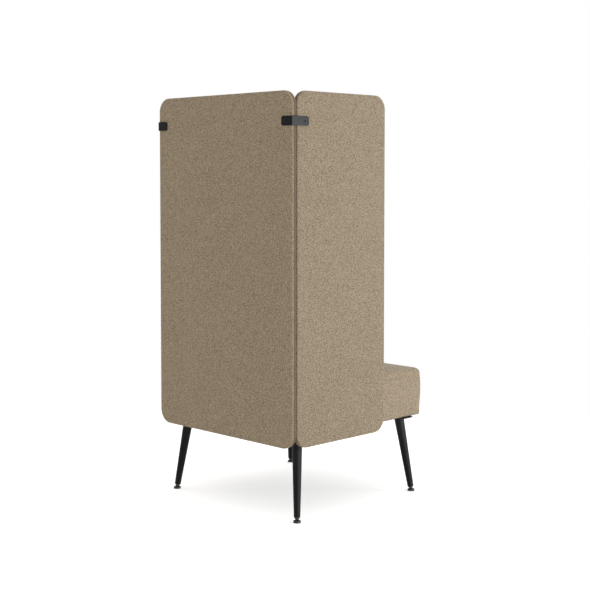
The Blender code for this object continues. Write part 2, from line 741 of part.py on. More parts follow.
def make_back_cushion():
    """The loose back cushion on its board, held to the back screen by two strips."""
    cushion = add_object("back_cushion", cushion_mesh(
        "back_cushion", (back_cushion_width, BACK_CUSHION_HEIGHT, BACK_CUSHION_DEPTH),
        BACK_CUSHION_CORNER_RADIUS, (BACK_CUSHION_RIM_WIDTH, BACK_CUSHION_RIM_HEIGHT),
        BACK_CUSHION_FOOT_RADIUS, BACK_CUSHION_BULGE, BACK_CUSHION_CROWN), fabric)
    cushion.rotation_euler = (math.pi / 2, 0, 0)
    middle_z = back_cushion_low_z + BACK_CUSHION_HEIGHT / 2
    cushion.location = (0, back_cushion_rear_y, middle_z)
    subdivide(cushion)

    half_x = back_cushion_width / 2 - BACK_BOARD_MARGIN
    half_z = BACK_CUSHION_HEIGHT / 2 - BACK_BOARD_MARGIN
    box(
        "back_cushion_board", (-half_x, board_front_y, middle_z - half_z),
        (half_x, board_rear_y, middle_z + half_z), plywood)
    strip_size = (strip_length_share * back_cushion_width, STRIP_THICKNESS, STRIP_WIDTH)
    strip = box_mesh("fastening_strip", strip_size)
    for word, share in strip_height_shares.items():
        item = add_object("fastening_strip_" + word, strip, dark_cloth)
        strip_z = back_cushion_low_z + share * BACK_CUSHION_HEIGHT
        item.location = (0, strip_front_y + STRIP_THICKNESS / 2, strip_z)


def leg_profile():
    """Outer side top to bottom, then the inside of the tube back up."""
    taper = (LEG_TOP_RADIUS - LEG_END_RADIUS) / (leg_length - leg_end)
    spare = LEG_TOP_RADIUS
    top = leg_length + spare
    top_radius = LEG_TOP_RADIUS + taper * spare
    return [
        (top_radius, top), (LEG_END_RADIUS, leg_end),
        (LEG_END_RADIUS - LEG_WALL, leg_end), (top_radius - LEG_WALL, top)]


def insert_profile():
    body = LEG_END_RADIUS - LEG_WALL - CLEARANCE
    top = flange_top + INSERT_LENGTH
    return [
        (body, top), (body, flange_top), (LEG_END_RADIUS, flange_top),
        (LEG_END_RADIUS, flange_low + INSERT_CHAMFER), (LEG_END_RADIUS - INSERT_CHAMFER, flange_low),
        (bore_radius, flange_low), (bore_radius, top)]


def stud_profile():
    """Threaded shank, then the neck and the ball that the base turns on."""
    top = collar_top + STUD_LENGTH
    neck_angle = math.acos(STUD_NECK_RADIUS / BALL_RADIUS)
    points = [
        (0, top), (STUD_RADIUS - STUD_CHAMFER, top), (STUD_RADIUS, top - STUD_CHAMFER),
        (STUD_RADIUS, collar_top - STUD_COLLAR_HEIGHT / 2),
        (STUD_NECK_RADIUS, collar_top - STUD_COLLAR_HEIGHT / 2)]
    ball = arc(BALL_RADIUS, neck_angle, -math.pi / 2, ARC_STEPS)
    ball[-1] = (0, -BALL_RADIUS)
    return points + ball


def base_profile():
    """From the bottom of the ball socket, over the hub and the disc, to the floor."""
    mouth_angle = math.asin(GLIDE_HUB_RISE / pocket_radius)
    socket = arc(pocket_radius, -math.pi / 2, mouth_angle, ARC_STEPS)
    socket[0] = (0, -pocket_radius)
    disc_top = GLIDE_DISC_HEIGHT - BALL_CENTRE_Z
    floor = -BALL_CENTRE_Z
    return socket + [
        (GLIDE_HUB_RADIUS, GLIDE_HUB_RISE), (GLIDE_HUB_FOOT_RADIUS, disc_top),
        (GLIDE_RADIUS - GLIDE_EDGE, disc_top), (GLIDE_RADIUS, disc_top - GLIDE_EDGE),
        (GLIDE_RADIUS, floor + GLIDE_EDGE), (GLIDE_RADIUS - GLIDE_EDGE, floor), (0, floor)]


def make_leg(name, side, end, centre, meshes, ceiling):
    """One leg on its axis empty, its plate with four screws, and the glide; the base stays level."""
    leg_mesh, insert_mesh, stud_mesh, base_mesh, screw_mesh = meshes
    axis = bpy.data.objects.new("leg_axis_" + name, None)
    parts.objects.link(axis)
    axis.location = centre
    axis.rotation_mode = 'QUATERNION'
    axis.rotation_quaternion = Vector((0, 0, 1)).rotation_difference(leg_direction(side, end))
    leg = add_object("leg_" + name, leg_mesh, black_metal)
    boolean(leg, ceiling)
    insert = add_object("leg_insert_" + name, insert_mesh, black_plastic)
    stud = add_object("glide_stud_" + name, stud_mesh, black_metal)
    for item in (leg, insert, stud):
        item.parent = axis
    base = add_object("glide_base_" + name, base_mesh, black_plastic)
    base.location = centre

    plate_size = (LEG_PLATE_SIZE, LEG_PLATE_THICKNESS, LEG_PLATE_SIZE)
    plate_mesh = slab_mesh("leg_plate_" + name, plate_size, LEG_PLATE_CORNER, SMALL_CORNER_SEGMENTS)
    plate_mesh.transform(Matrix.Rotation(math.pi / 2, 4, 'X'))
    plate = add_object("leg_plate_" + name, plate_mesh, black_metal)
    middle = plate_centre(side, end, centre)
    plate.location = (middle.x, middle.y, (plate_low_z + plate_top_z) / 2)
    screws = repeated_mesh(screw_mesh, plate_screw_matrices(middle), "plate_screws_" + name)
    boolean(plate, hide_cutter(add_object(screws.name, screws, None, cutters)), 'UNION')


def plate_hole_cutter():
    matrices = []
    for name, side, end, centre in leg_places():
        matrices += plate_screw_matrices(plate_centre(side, end, centre))
    return rod_cutter(
        "plate_hole_cutter", PLATE_SCREW_RADIUS + CLEARANCE, PLATE_SCREW_LENGTH + CLEARANCE, matrices,
        SCREW_STEPS)


def make_legs():
    leg_mesh = turned_mesh("leg", leg_profile(), ROUND_STEPS, closed=True)
    insert_mesh = turned_mesh("leg_insert", insert_profile(), SMALL_STEPS, closed=True)
    base_mesh = turned_mesh("glide_base", base_profile(), ROUND_STEPS)
    shank = turned("glide_stud", stud_profile(), SMALL_STEPS)
    shape = bmesh.new()
    bmesh.ops.create_cone(
        shape, cap_ends=True, segments=SOCKET_SIDES, radius1=STUD_COLLAR_RADIUS,
        radius2=STUD_COLLAR_RADIUS, depth=STUD_COLLAR_HEIGHT,
        matrix=Matrix.Translation((0, 0, collar_top - STUD_COLLAR_HEIGHT / 2)))
    collar = hide_cutter(add_object("stud_collar", mesh_of(shape, "stud_collar"), None, cutters))
    boolean(shank, collar, 'UNION')
    stud_mesh = baked_mesh(shank, "glide_stud")
    smooth(stud_mesh)

    deep = LEG_TOP_RADIUS * 2
    ceiling = box_cutter(
        "leg_top_cutter", (-side_face_x, seat_front_y, plate_low_z - CLEARANCE),
        (side_face_x, back_face_y, plate_low_z + deep))
    meshes = (leg_mesh, insert_mesh, stud_mesh, base_mesh, plate_screw_mesh())
    for name, side, end, centre in leg_places():
        make_leg(name, side, end, centre, meshes, ceiling)


def main():
    bolt_holes, sleeve_holes = make_screen_bolts()
    bracket_holes = make_bracket_screws()
    quarter = math.pi / 2
    back_middle = (0, back_face_y - SCREEN_THICKNESS / 2, screen_middle_z)
    screens = (
        ("back_screen", SCREEN_WIDTH, back_middle, 0),
        ("left_screen", SIDE_SCREEN_DEPTH, (-side_middle_x, side_middle_y, screen_middle_z), quarter),
        ("right_screen", SIDE_SCREEN_DEPTH, (side_middle_x, side_middle_y, screen_middle_z), -quarter))
    for prefix, width, middle, turn in screens:
        make_screen(prefix, width, middle, turn, bolt_holes, sleeve_holes, bracket_holes)
    make_bracket("corner_bracket_left", -1, bracket_holes)
    make_bracket("corner_bracket_right", 1, bracket_holes)
    make_seat_upholstery(sleeve_holes)
    make_seat_frame(bolt_holes, plate_hole_cutter())
    make_back_cushion()
    make_legs()


main()
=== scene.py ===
# %% [markdown]
# # A high back privacy chair, dressed
#
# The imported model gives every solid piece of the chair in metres: the screens, the seat
# frame, the legs and the glides. This lesson dresses it. Soft pieces get their cloth,
# rigid pieces get smooth edges and a finish, and every new piece stands exactly where
# the model has its simple counterpart.

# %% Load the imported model
import json
import math

import bpy
import numpy as np
from mathutils import Matrix, Vector


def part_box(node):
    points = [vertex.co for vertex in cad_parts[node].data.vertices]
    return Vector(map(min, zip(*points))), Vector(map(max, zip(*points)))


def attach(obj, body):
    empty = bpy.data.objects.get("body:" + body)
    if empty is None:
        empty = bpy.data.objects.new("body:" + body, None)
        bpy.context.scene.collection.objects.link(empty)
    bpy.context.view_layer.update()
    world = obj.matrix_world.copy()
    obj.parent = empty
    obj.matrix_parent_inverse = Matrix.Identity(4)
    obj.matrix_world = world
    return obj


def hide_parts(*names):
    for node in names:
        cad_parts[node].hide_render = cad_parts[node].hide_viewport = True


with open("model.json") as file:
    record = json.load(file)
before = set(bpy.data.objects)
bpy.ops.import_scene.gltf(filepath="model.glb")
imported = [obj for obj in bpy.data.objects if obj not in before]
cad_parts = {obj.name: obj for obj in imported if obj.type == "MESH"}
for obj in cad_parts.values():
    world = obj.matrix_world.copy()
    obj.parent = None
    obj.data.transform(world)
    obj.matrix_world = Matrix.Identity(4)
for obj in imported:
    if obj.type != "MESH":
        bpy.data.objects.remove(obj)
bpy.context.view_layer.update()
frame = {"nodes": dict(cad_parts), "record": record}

nodes = frame["nodes"]

# %% [markdown]
# ## The camera
#
# The chair is seen from behind, at 45 degrees to its back and side, from about the height
# of a sitting person's head. A long lens keeps its uprights nearly parallel. Most of the
# chair lies below the horizon, so the camera looks down a little and its lens is shifted a
# little. A shift alone would keep the uprights parallel, but a large one would push the
# chair out of the picture in every other view.

# %% Camera
CAMERA_PLACE = (-3.1974, 3.1549, 1.1702)
CAMERA_PITCH = 2.813
CAMERA_HEADING = 44.648
CAMERA_LENS = 73.811
CAMERA_SHIFT = -0.0990
bpy.ops.object.select_all(action='DESELECT')
bpy.ops.object.camera_add(location=CAMERA_PLACE)
camera = bpy.context.object
camera.name = "camera"
camera.rotation_euler = (math.radians(90 - CAMERA_PITCH), 0, math.radians(-90 - CAMERA_HEADING))
camera.data.lens = CAMERA_LENS
camera.data.sensor_width = 36
camera.data.shift_y = CAMERA_SHIFT
bpy.context.scene.camera = camera
bpy.context.scene.view_settings.view_transform = 'Standard'
print("camera at", tuple(round(value, 3) for value in camera.location))

# %% [markdown]
# ## Working habits
#
# Operators act on whatever is selected, so each step starts with nothing selected. Faces
# and edges are then picked in code, by where they lie and which way they run, just as a
# hand would click them. A finished piece keeps its place in its mesh, so that its object
# can stay at the origin.

# %% Selecting and naming


def bare():
    """Object mode, with nothing selected."""
    active = bpy.context.view_layer.objects.active
    if active and active.mode != 'OBJECT':
        bpy.ops.object.mode_set(mode='OBJECT')
    bpy.ops.object.select_all(action='DESELECT')


def only(piece):
    """Object mode, with this piece selected and active."""
    bare()
    piece.select_set(True)
    bpy.context.view_layer.objects.active = piece


def pick(piece, kind, test):
    """Edit mode with the faces or edges selected whose middle and direction pass the test."""
    only(piece)
    mesh = piece.data
    for items in (mesh.vertices, mesh.edges, mesh.polygons):
        items.foreach_set("select", [False] * len(items))
    bpy.context.tool_settings.mesh_select_mode = (False, kind == 'EDGE', kind == 'FACE')
    if kind == 'FACE':
        for face in mesh.polygons:
            face.select = bool(test(face.center, face.normal))
    else:
        for edge in mesh.edges:
            start, end = (mesh.vertices[index].co for index in edge.vertices)
            edge.select = bool(test((start + end) / 2, (end - start).normalized()))
    bpy.ops.object.mode_set(mode='EDIT')


def pick_all(piece):
    """Edit mode with the whole piece selected."""
    only(piece)
    bpy.ops.object.mode_set(mode='EDIT')
    bpy.ops.mesh.select_all(action='SELECT')


def object_mode():
    """Out of edit mode, which writes the edit into the mesh."""
    bpy.ops.object.mode_set(mode='OBJECT')


def named(name):
    """Names the new primitive and moves its place, turn and size into its mesh."""
    piece = bpy.context.object
    piece.name = name
    piece.data.name = name
    only(piece)
    bpy.ops.object.transform_apply(location=True, rotation=True, scale=True)
    return piece


# %% Starting shapes and finishing modifiers


def block(name, low, high):
    """A box between two corners, as the start of a piece."""
    bare()
    low, high = Vector(low), Vector(high)
    bpy.ops.mesh.primitive_cube_add(size=1, location=(low + high) / 2, scale=high - low)
    return named(name)


def turned(name, profile, sides=48):
    """A round piece about Z: a disc drawn up through rings of (radius, height)."""
    bare()
    radius, height = profile[0]
    bpy.ops.mesh.primitive_circle_add(
        vertices=sides, radius=radius, fill_type='NGON', location=(0, 0, height))
    piece = named(name)
    pick_all(piece)
    for next_radius, next_height in profile[1:]:
        bpy.ops.mesh.extrude_region_move(
            TRANSFORM_OT_translate={"value": (0, 0, next_height - height)})
        share = next_radius / radius
        bpy.ops.transform.resize(value=(share, share, 1), center_override=(0, 0, 0))
        radius, height = next_radius, next_height
    outward(piece)
    return piece


def outward(piece):
    """Every face turned to point out of the piece."""
    pick_all(piece)
    bpy.ops.mesh.normals_make_consistent(inside=False)
    object_mode()


def round_edges(piece, test, radius, segments):
    """A rounding on the edges that pass the test."""
    pick(piece, 'EDGE', test)
    bpy.ops.mesh.bevel(offset=radius, segments=segments, profile=0.5, affect='EDGES')
    object_mode()


def smooth(piece, degrees):
    """Smooth shading, apart from edges sharper than an angle."""
    only(piece)
    bpy.ops.object.shade_smooth_by_angle(angle=math.radians(degrees))


def apply_new(piece, kind, **settings):
    """Adds a modifier with these settings and applies it."""
    only(piece)
    modifier = piece.modifiers.new(kind.title(), kind)
    for key, value in settings.items():
        setattr(modifier, key, value)
    bpy.ops.object.modifier_apply(modifier=modifier.name)


def ease_edges(piece, width, segments=2, degrees=35):
    """A narrow rounding on every edge sharper than an angle, and smooth shading."""
    apply_new(
        piece, 'BEVEL', width=width, segments=segments, limit_method='ANGLE',
        angle_limit=math.radians(degrees), miter_outer='MITER_ARC')
    smooth(piece, degrees)


def joined(first, *others):
    """The other pieces made part of the first."""
    only(first)
    for piece in others:
        piece.select_set(True)
    bpy.ops.object.join()
    return first


def cloth_run(piece):
    """A map in metres for the weave, laid on from the six sides of a box."""
    pick_all(piece)
    bpy.ops.uv.cube_project(cube_size=0.5, correct_aspect=False, scale_to_bounds=False)
    object_mode()
    piece.data.uv_layers.active.name = "cloth_run"


def copy_of(piece, name, matrix):
    """A copy with its own mesh, moved by a matrix."""
    twin = piece.copy()
    twin.data = piece.data.copy()
    twin.name = name
    twin.data.name = name
    twin.data.transform(matrix)
    bpy.context.scene.collection.objects.link(twin)
    return twin


def dress(piece, material, body, slot, *stands_for):
    """Gives a finished piece its material, its body and the nodes it replaces; the slot is not
    used.
    """
    piece.data.materials.clear()
    piece.data.materials.append(material)
    if stands_for:
        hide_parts(*stands_for)
    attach(piece, body)
    print(piece.name, len(piece.data.polygons), "faces, on", body)


# %% [markdown]
# ## Wiring materials
#
# Every finish is made of nodes. An effect that several finishes share, such as the weave
# of the cloth or the fine pebble of powder coat, is a node group that is built once, and
# each finish sets it in with its own values. Small helpers keep the wiring readable: each
# places one kind of node and feeds it numbers or links.

# %% Node helpers


def feed(tree, socket, value):
    """A link, or a number that stays the same, into a socket."""
    if isinstance(value, bpy.types.NodeSocket):
        tree.links.new(value, socket)
    else:
        socket.default_value = value


def calc(tree, operation, *values):
    """A Math node."""
    step = tree.nodes.new('ShaderNodeMath')
    step.operation = operation
    for socket, value in zip(step.inputs, values):
        feed(tree, socket, value)
    return step.outputs[0]


def noise(tree, vector, scale, detail=2.0, roughness=0.5):
    """Soft noise from 0 to 1; the scale is in spots per metre."""
    step = tree.nodes.new('ShaderNodeTexNoise')
    feed(tree, step.inputs["Vector"], vector)
    feed(tree, step.inputs["Scale"], scale)
    step.inputs["Detail"].default_value = detail
    step.inputs["Roughness"].default_value = roughness
    return step.outputs["Fac"]


def point(tree, x, y, z):
    """Three numbers as one place."""
    step = tree.nodes.new('ShaderNodeCombineXYZ')
    for socket, value in zip(step.inputs, (x, y, z)):
        feed(tree, socket, value)
    return step.outputs[0]


def blend(tree, share, first, second):
    """A number between two others."""
    step = tree.nodes.new('ShaderNodeMix')
    step.data_type = 'FLOAT'
    for index, value in ((0, share), (2, first), (3, second)):
        feed(tree, step.inputs[index], value)
    return step.outputs[0]


def tint(tree, share, first, second):
    """A colour between two others."""
    step = tree.nodes.new('ShaderNodeMix')
    step.data_type = 'RGBA'
    for index, value in ((0, share), (6, first), (7, second)):
        feed(tree, step.inputs[index], (*value, 1) if isinstance(value, tuple) else value)
    return step.outputs[2]


def times(tone, factor):
    """The same colour, lighter or darker."""
    return tuple(value * factor for value in tone)


def effect(name, inputs, outputs):
    """A node group with named numbers and vectors going in and named results coming out."""
    group = bpy.data.node_groups.new(name, 'ShaderNodeTree')
    for label, kind, value in inputs:
        socket = group.interface.new_socket(label, in_out='INPUT', socket_type=kind)
        if value is not None:
            socket.default_value = value
    for label in outputs:
        group.interface.new_socket(label, in_out='OUTPUT', socket_type='NodeSocketFloat')
    coming_in = group.nodes.new('NodeGroupInput').outputs
    return group, coming_in, group.nodes.new('NodeGroupOutput').inputs


def place_effect(tree, group, **values):
    """The group set into a material, with that material's own values."""
    step = tree.nodes.new('ShaderNodeGroup')
    step.node_tree = group
    for label, value in values.items():
        feed(tree, step.inputs[label], value)
    return step.outputs


def new_finish(name):
    """A material with its tree, its Principled shader and its place in metres."""
    material = bpy.data.materials.new(name)
    material.use_nodes = True
    tree = material.node_tree
    shader = tree.nodes["Principled BSDF"]
    place = tree.nodes.new('ShaderNodeTexCoord').outputs["Object"]
    return material, tree, shader, place


def relief(tree, shader, height, distance, strength):
    """A height in metres that the light sees on the surface."""
    bump = tree.nodes.new('ShaderNodeBump')
    bump.inputs["Distance"].default_value = distance
    bump.inputs["Strength"].default_value = strength
    tree.links.new(height, bump.inputs["Height"])
    tree.links.new(bump.outputs["Normal"], shader.inputs["Normal"])


def paint(tree, shader, mask, first, second):
    """The shader's colour: the first where the mask is 0, the second where it is 1."""
    tree.links.new(tint(tree, mask, first, second), shader.inputs["Base Color"])


def roughen(tree, shader, mask, middle, spread):
    """The shader's roughness about a middle; the spread is from mask 0 to mask 1."""
    rough = calc(tree, 'MULTIPLY_ADD', mask, spread, middle - spread / 2)
    tree.links.new(rough, shader.inputs["Roughness"])


def fix(shader, **values):
    """Numbers and colours that are the same all over, on the shader's own sockets."""
    for label, value in values.items():
        shader.inputs[label.replace("_", " ")].default_value = value


# %% [markdown]
# ## The wool cloth
#
# The chair is covered in a heathered wool cloth. Its yarns are spun from lighter and
# darker fibres, so close up there is a plain weave of yarns that pass over and under each
# other, and each crossing is a fleck of its own tone. Where a yarn dips under its
# neighbours its colour is painted darker, as painted shade. From a distance the flecks mix
# to a softly mottled taupe. Their borders are frayed by a fine noise, because straight ones
# would look like tiles. Weave and flecks follow a map in metres. Only the fuzz and a faint,
# large cloud of tone follow the place on the chair.

# %% The weave: yarns that pass over and under
YARN = 0.0015
weave, given, result = effect(
    "wool_weave",
    (("Run", 'NodeSocketVector', None), ("Place", 'NodeSocketVector', None),
     ("Yarn", 'NodeSocketFloat', YARN), ("Heather", 'NodeSocketFloat', 0.5)),
    ("Tone and painted shade", "Height"))
run = weave.nodes.new('ShaderNodeSeparateXYZ')
weave.links.new(given["Run"], run.inputs[0])
across = calc(weave, 'DIVIDE', run.outputs[0], given["Yarn"])
along = calc(weave, 'DIVIDE', run.outputs[1], given["Yarn"])
warp_number = calc(weave, 'FLOOR', across)
weft_number = calc(weave, 'FLOOR', along)
over = calc(weave, 'FLOORED_MODULO', calc(weave, 'ADD', warp_number, weft_number), 2.0)
warp_round = calc(weave, 'SINE', calc(weave, 'MULTIPLY', calc(weave, 'FRACT', across), math.pi))
weft_round = calc(weave, 'SINE', calc(weave, 'MULTIPLY', calc(weave, 'FRACT', along), math.pi))


def yarn_height(round_across, round_along):
    """A round yarn that dips where it goes under its neighbours."""
    crest = calc(weave, 'POWER', round_across, 0.6)
    return calc(weave, 'MULTIPLY', crest, calc(weave, 'MULTIPLY_ADD', round_along, 0.45, 0.55))


def yarn_tone(number, length, seed):
    """Lighter and darker stretches along one yarn."""
    stretch = calc(weave, 'MULTIPLY', length, 0.33)
    apart = calc(weave, 'MULTIPLY', number, 7.31)
    return noise(weave, point(weave, apart, stretch, seed), 1.0, 1.0)


woven = blend(
    weave, over, yarn_height(weft_round, warp_round), yarn_height(warp_round, weft_round))
yarns = blend(
    weave, over, yarn_tone(weft_number, across, 3.0), yarn_tone(warp_number, along, 9.0))
print("weave of", len(weave.nodes), "nodes so far")

# %% The weave: flecks, fuzz, cloud and painted shade
skew = weave.nodes.new('ShaderNodeMapping')
weave.links.new(given["Place"], skew.inputs["Vector"])
skew.inputs["Rotation"].default_value = (0.6, 0.35, 0.8)
cloud = noise(weave, skew.outputs[0], 9.0, 2.0)
fuzz = noise(weave, skew.outputs[0], 1600.0, 2.0)


def swing(value, amount):
    """How far a noise value is from its middle, times an amount."""
    return calc(weave, 'MULTIPLY', calc(weave, 'SUBTRACT', value, 0.5), amount)


FLECK_SPACING = 0.57
ragged = swing(fuzz, 1.6)
frayed_across = calc(weave, 'FLOOR', calc(weave, 'ADD', across, ragged))
frayed_along = calc(weave, 'FLOOR', calc(weave, 'SUBTRACT', along, ragged))
crossing = point(weave, calc(weave, 'MULTIPLY', frayed_across, FLECK_SPACING),
                 calc(weave, 'MULTIPLY', frayed_along, FLECK_SPACING), 21.4)
flecks = noise(weave, crossing, 1.0, 0.0)
fibres = calc(weave, 'ADD', swing(flecks, 7.3), swing(yarns, 3.0))
heathered = calc(weave, 'MULTIPLY', fibres, given["Heather"])
uneven = calc(weave, 'ADD', heathered, swing(cloud, 0.10))
# Painted shade: the colour is made darker where a yarn dips under its neighbours, as if shaded
# there.
shade = calc(weave, 'MULTIPLY_ADD', woven, 0.16, 0.40)
weave.links.new(calc(weave, 'ADD', shade, uneven), result["Tone and painted shade"])
weave.links.new(calc(weave, 'ADD', woven, swing(fuzz, 0.7)), result["Height"])
print("weave group", len(weave.nodes), "nodes")

# %% The cloth finishes


def wool(name, dark, light, heather, yarn=YARN):
    """Woven wool between two tones, with painted shade where the yarns dip; heather says how far
    its flecks swing between them.
    """
    material, tree, shader, place = new_finish(name)
    chart = tree.nodes.new('ShaderNodeUVMap')
    chart.uv_map = "cloth_run"
    cloth = place_effect(
        tree, weave, Run=chart.outputs[0], Place=place, Yarn=yarn, Heather=heather)
    paint(tree, shader, cloth["Tone and painted shade"], dark, light)
    relief(tree, shader, cloth["Height"], 0.0005, 0.5)
    fix(shader, Roughness=0.95, Specular_IOR_Level=0.15, Sheen_Weight=0.30,
        Sheen_Roughness=0.4, Sheen_Tint=(1.0, 0.97, 0.93, 1))
    return material


screen_wool = wool("taupe_wool_screen", (0.118, 0.088, 0.054), (0.480, 0.385, 0.272), 0.53)
# The seat and back cushion get the screens' taupe made about 13% lighter: painted light, standing
# for the stronger light that falls on the seat.
seat_wool_painted_lighter = wool("taupe_wool_seat_painted_lighter", (0.137, 0.103, 0.065), (0.542, 0.436, 0.312), 0.40)
binding = wool(
    "brown_edge_binding", (0.105, 0.076, 0.046), (0.250, 0.192, 0.130), 0.15, yarn=0.0007)
print("cloth finishes", screen_wool.name, seat_wool_painted_lighter.name, binding.name)

# %% [markdown]
# ## Metal, plastic and wood
#
# The brackets, plates and legs are powder coated: a satin black film with a fine pebble,
# a little smoother on the brackets. Where the surface stands out, as Pointiness tells, the
# film is thinner and has been rubbed. The bracket screws and the glides' studs are black
# zinc, made the same way. The glides' bases and the leg inserts are moulded plastic, with
# faint flow marks. The hidden boards are plywood, whose layers only show on their edges.

# %% Shared effects for hard pieces
pebble, given, result = effect(
    "fine_pebble",
    (("Place", 'NodeSocketVector', None), ("Size", 'NodeSocketFloat', 0.0008)),
    ("Height", "Patch"))
grains = noise(pebble, given["Place"], calc(pebble, 'DIVIDE', 1.0, given["Size"]), 2.0, 0.5)
pebble.links.new(grains, result["Height"])
pebble.links.new(noise(pebble, given["Place"], 38.0, 4.0, 0.6), result["Patch"])

rubbed, given, result = effect(
    "rubbed_edge",
    (("Place", 'NodeSocketVector', None), ("Edge", 'NodeSocketFloat', 0.5),
     ("Amount", 'NodeSocketFloat', 0.5)),
    ("Wear",))
lift = calc(rubbed, 'MULTIPLY', calc(rubbed, 'SUBTRACT', given["Edge"], 0.515), 14.0)
patchy = calc(rubbed, 'MULTIPLY_ADD', noise(rubbed, given["Place"], 160.0, 3.0, 0.7), 2.0, -0.55)
shown = calc(rubbed, 'MULTIPLY', calc(rubbed, 'MAXIMUM', lift, 0.0), patchy)
worn = calc(rubbed, 'MINIMUM', calc(rubbed, 'MAXIMUM', shown, 0.0), 1.0)
rubbed.links.new(calc(rubbed, 'MULTIPLY', worn, given["Amount"]), result["Wear"])
print("shared effects", pebble.name, rubbed.name)

# %% Metal finishes


def coated(name, film, bare_metal, roughness, size, amount):
    """A film with a pebble of a size in metres, rubbed along the edges by an amount."""
    material, tree, shader, place = new_finish(name)
    fine = place_effect(tree, pebble, Place=place, Size=size)
    edge = tree.nodes.new('ShaderNodeNewGeometry').outputs["Pointiness"]
    wear = place_effect(tree, rubbed, Place=place, Edge=edge, Amount=amount)["Wear"]
    patch = tint(tree, fine["Patch"], film, times(film, 1.5))
    paint(tree, shader, wear, patch, bare_metal)
    roughen(tree, shader, fine["Patch"], roughness, 0.16)
    fix(shader, Specular_IOR_Level=0.11)
    relief(tree, shader, fine["Height"], 0.00006, 0.6)
    return material


BLACK_FILM = (0.0034, 0.0035, 0.0035)
DULL_STEEL = (0.10, 0.10, 0.10)
black_coat = coated("black_powder_coat", BLACK_FILM, DULL_STEEL, 0.48, 0.0008, 0.4)
bracket_coat = coated("bracket_powder_coat", BLACK_FILM, DULL_STEEL, 0.35, 0.0008, 0.4)
black_zinc = coated("black_zinc", (0.008, 0.008, 0.008), (0.20, 0.20, 0.19), 0.36, 0.0005, 0.6)


def plated(name, tone, roughness):
    """Bright zinc plate with a faint crystal pattern."""
    material, tree, shader, place = new_finish(name)
    fine = place_effect(tree, pebble, Place=place, Size=0.0015)
    paint(tree, shader, fine["Patch"], times(tone, 0.8), tone)
    roughen(tree, shader, fine["Height"], roughness, 0.2)
    fix(shader, Metallic=1.0)
    relief(tree, shader, fine["Height"], 0.00003, 0.4)
    return material


zinc = plated("zinc_plate", (0.58, 0.58, 0.57), 0.34)
staple_steel = plated("staple_steel", (0.62, 0.62, 0.62), 0.28)


def moulded(name, tone, roughness):
    """Plastic with faint flow marks and a fine spark-eroded texture."""
    material, tree, shader, place = new_finish(name)
    fine = place_effect(tree, pebble, Place=place, Size=0.0006)
    paint(tree, shader, fine["Patch"], tone, times(tone, 1.6))
    roughen(tree, shader, fine["Patch"], roughness, 0.2)
    fix(shader, Specular_IOR_Level=0.4)
    relief(tree, shader, fine["Height"], 0.00004, 0.6)
    return material


base_plastic = moulded("base_plastic", (0.012, 0.012, 0.0122), 0.46)
insert_plastic = moulded("insert_plastic", (0.020, 0.020, 0.0205), 0.50)
print("hard finishes", black_coat.name, black_zinc.name, zinc.name, base_plastic.name)

# %% Wood and dust cloth


def layered_wood(name):
    """Birch plywood: long grain on the face, thin layers seen on the edges."""
    material, tree, shader, place = new_finish(name)
    turn = tree.nodes.new('ShaderNodeMapping')
    tree.links.new(place, turn.inputs["Vector"])
    turn.inputs["Scale"].default_value = (1.0, 14.0, 14.0)
    grain = noise(tree, turn.outputs[0], 9.0, 5.0, 0.6)
    spot = tree.nodes.new('ShaderNodeSeparateXYZ')
    tree.links.new(place, spot.inputs[0])
    layer = calc(tree, 'FRACT', calc(tree, 'MULTIPLY', spot.outputs[2], 360.0))
    dark_layer = calc(tree, 'GREATER_THAN', layer, 0.5)
    tone = calc(tree, 'MULTIPLY_ADD', dark_layer, -0.22, grain)
    paint(tree, shader, tone, (0.36, 0.22, 0.11), (0.68, 0.50, 0.31))
    roughen(tree, shader, grain, 0.65, 0.2)
    relief(tree, shader, grain, 0.0002, 0.5)
    return material


def felted(name, tone):
    """Thin pressed cloth with a dimpled print."""
    material, tree, shader, place = new_finish(name)
    fine = place_effect(tree, pebble, Place=place, Size=0.0022)
    paint(tree, shader, fine["Height"], tone, times(tone, 2.4))
    fix(shader, Roughness=0.9, Sheen_Weight=0.1)
    relief(tree, shader, fine["Height"], 0.0003, 0.7)
    return material


birch = layered_wood("birch_plywood")
dust_cloth = felted("black_dust_cloth", (0.008, 0.008, 0.0085))
print("hidden finishes", birch.name, dust_cloth.name)

# %% [markdown]
# ## The screens
#
# Each screen is a board in a thin layer of foam, covered on both faces. The cloth of the
# outer face turns over the rim, and a darker binding takes up the rest of the edge. The
# cover starts as a slab. Its four corners are bevelled to a large radius, the outer rim to
# a soft one and the inner rim to a tight one. The flat edge is cut with bisect where the
# binding starts, and the strip beyond the cut is sunk to a channel. The binding is the
# floor of that channel, copied out and raised. The side screens end 2 mm short at the rear,
# which opens the dark slit at the corner.

# %% A screen's cover
SCREEN_CORNER = 0.050
INNER_ROUNDING = 0.0012
CORNER_SLIT = 0.0020
FACE_BORDER = 0.012


def screen_slab(prefix, thin, outer_rounding):
    """A slab with round corners and rims, and the levels of its outer and inner face."""
    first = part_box(prefix + "_outer_cover")
    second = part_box(prefix + "_inner_cover")
    low = Vector(map(min, first[0], second[0]))
    high = Vector(map(max, first[1], second[1]))
    if thin == 0:
        high.y -= CORNER_SLIT
    outer, inner = low[thin], high[thin]
    if first[0][thin] >= second[0][thin]:
        outer, inner = inner, outer
    cover = block(prefix + "_cover", low, high)
    round_edges(cover, lambda centre, way: abs(way[thin]) > 0.9, SCREEN_CORNER, 24)
    for level, rounding in ((outer, outer_rounding), (inner, INNER_ROUNDING)):
        round_edges(cover, lambda centre, way: abs(centre[thin] - level) < 0.0001, rounding, 7)
    pick(cover, 'FACE', lambda centre, normal: abs(normal[thin]) > 0.9999)
    bpy.ops.mesh.inset(thickness=FACE_BORDER, depth=0)
    object_mode()
    return cover, outer, inner


# %% A screen's binding
CHANNEL_DEPTH = 0.0016
BINDING_PROUD = 0.0006


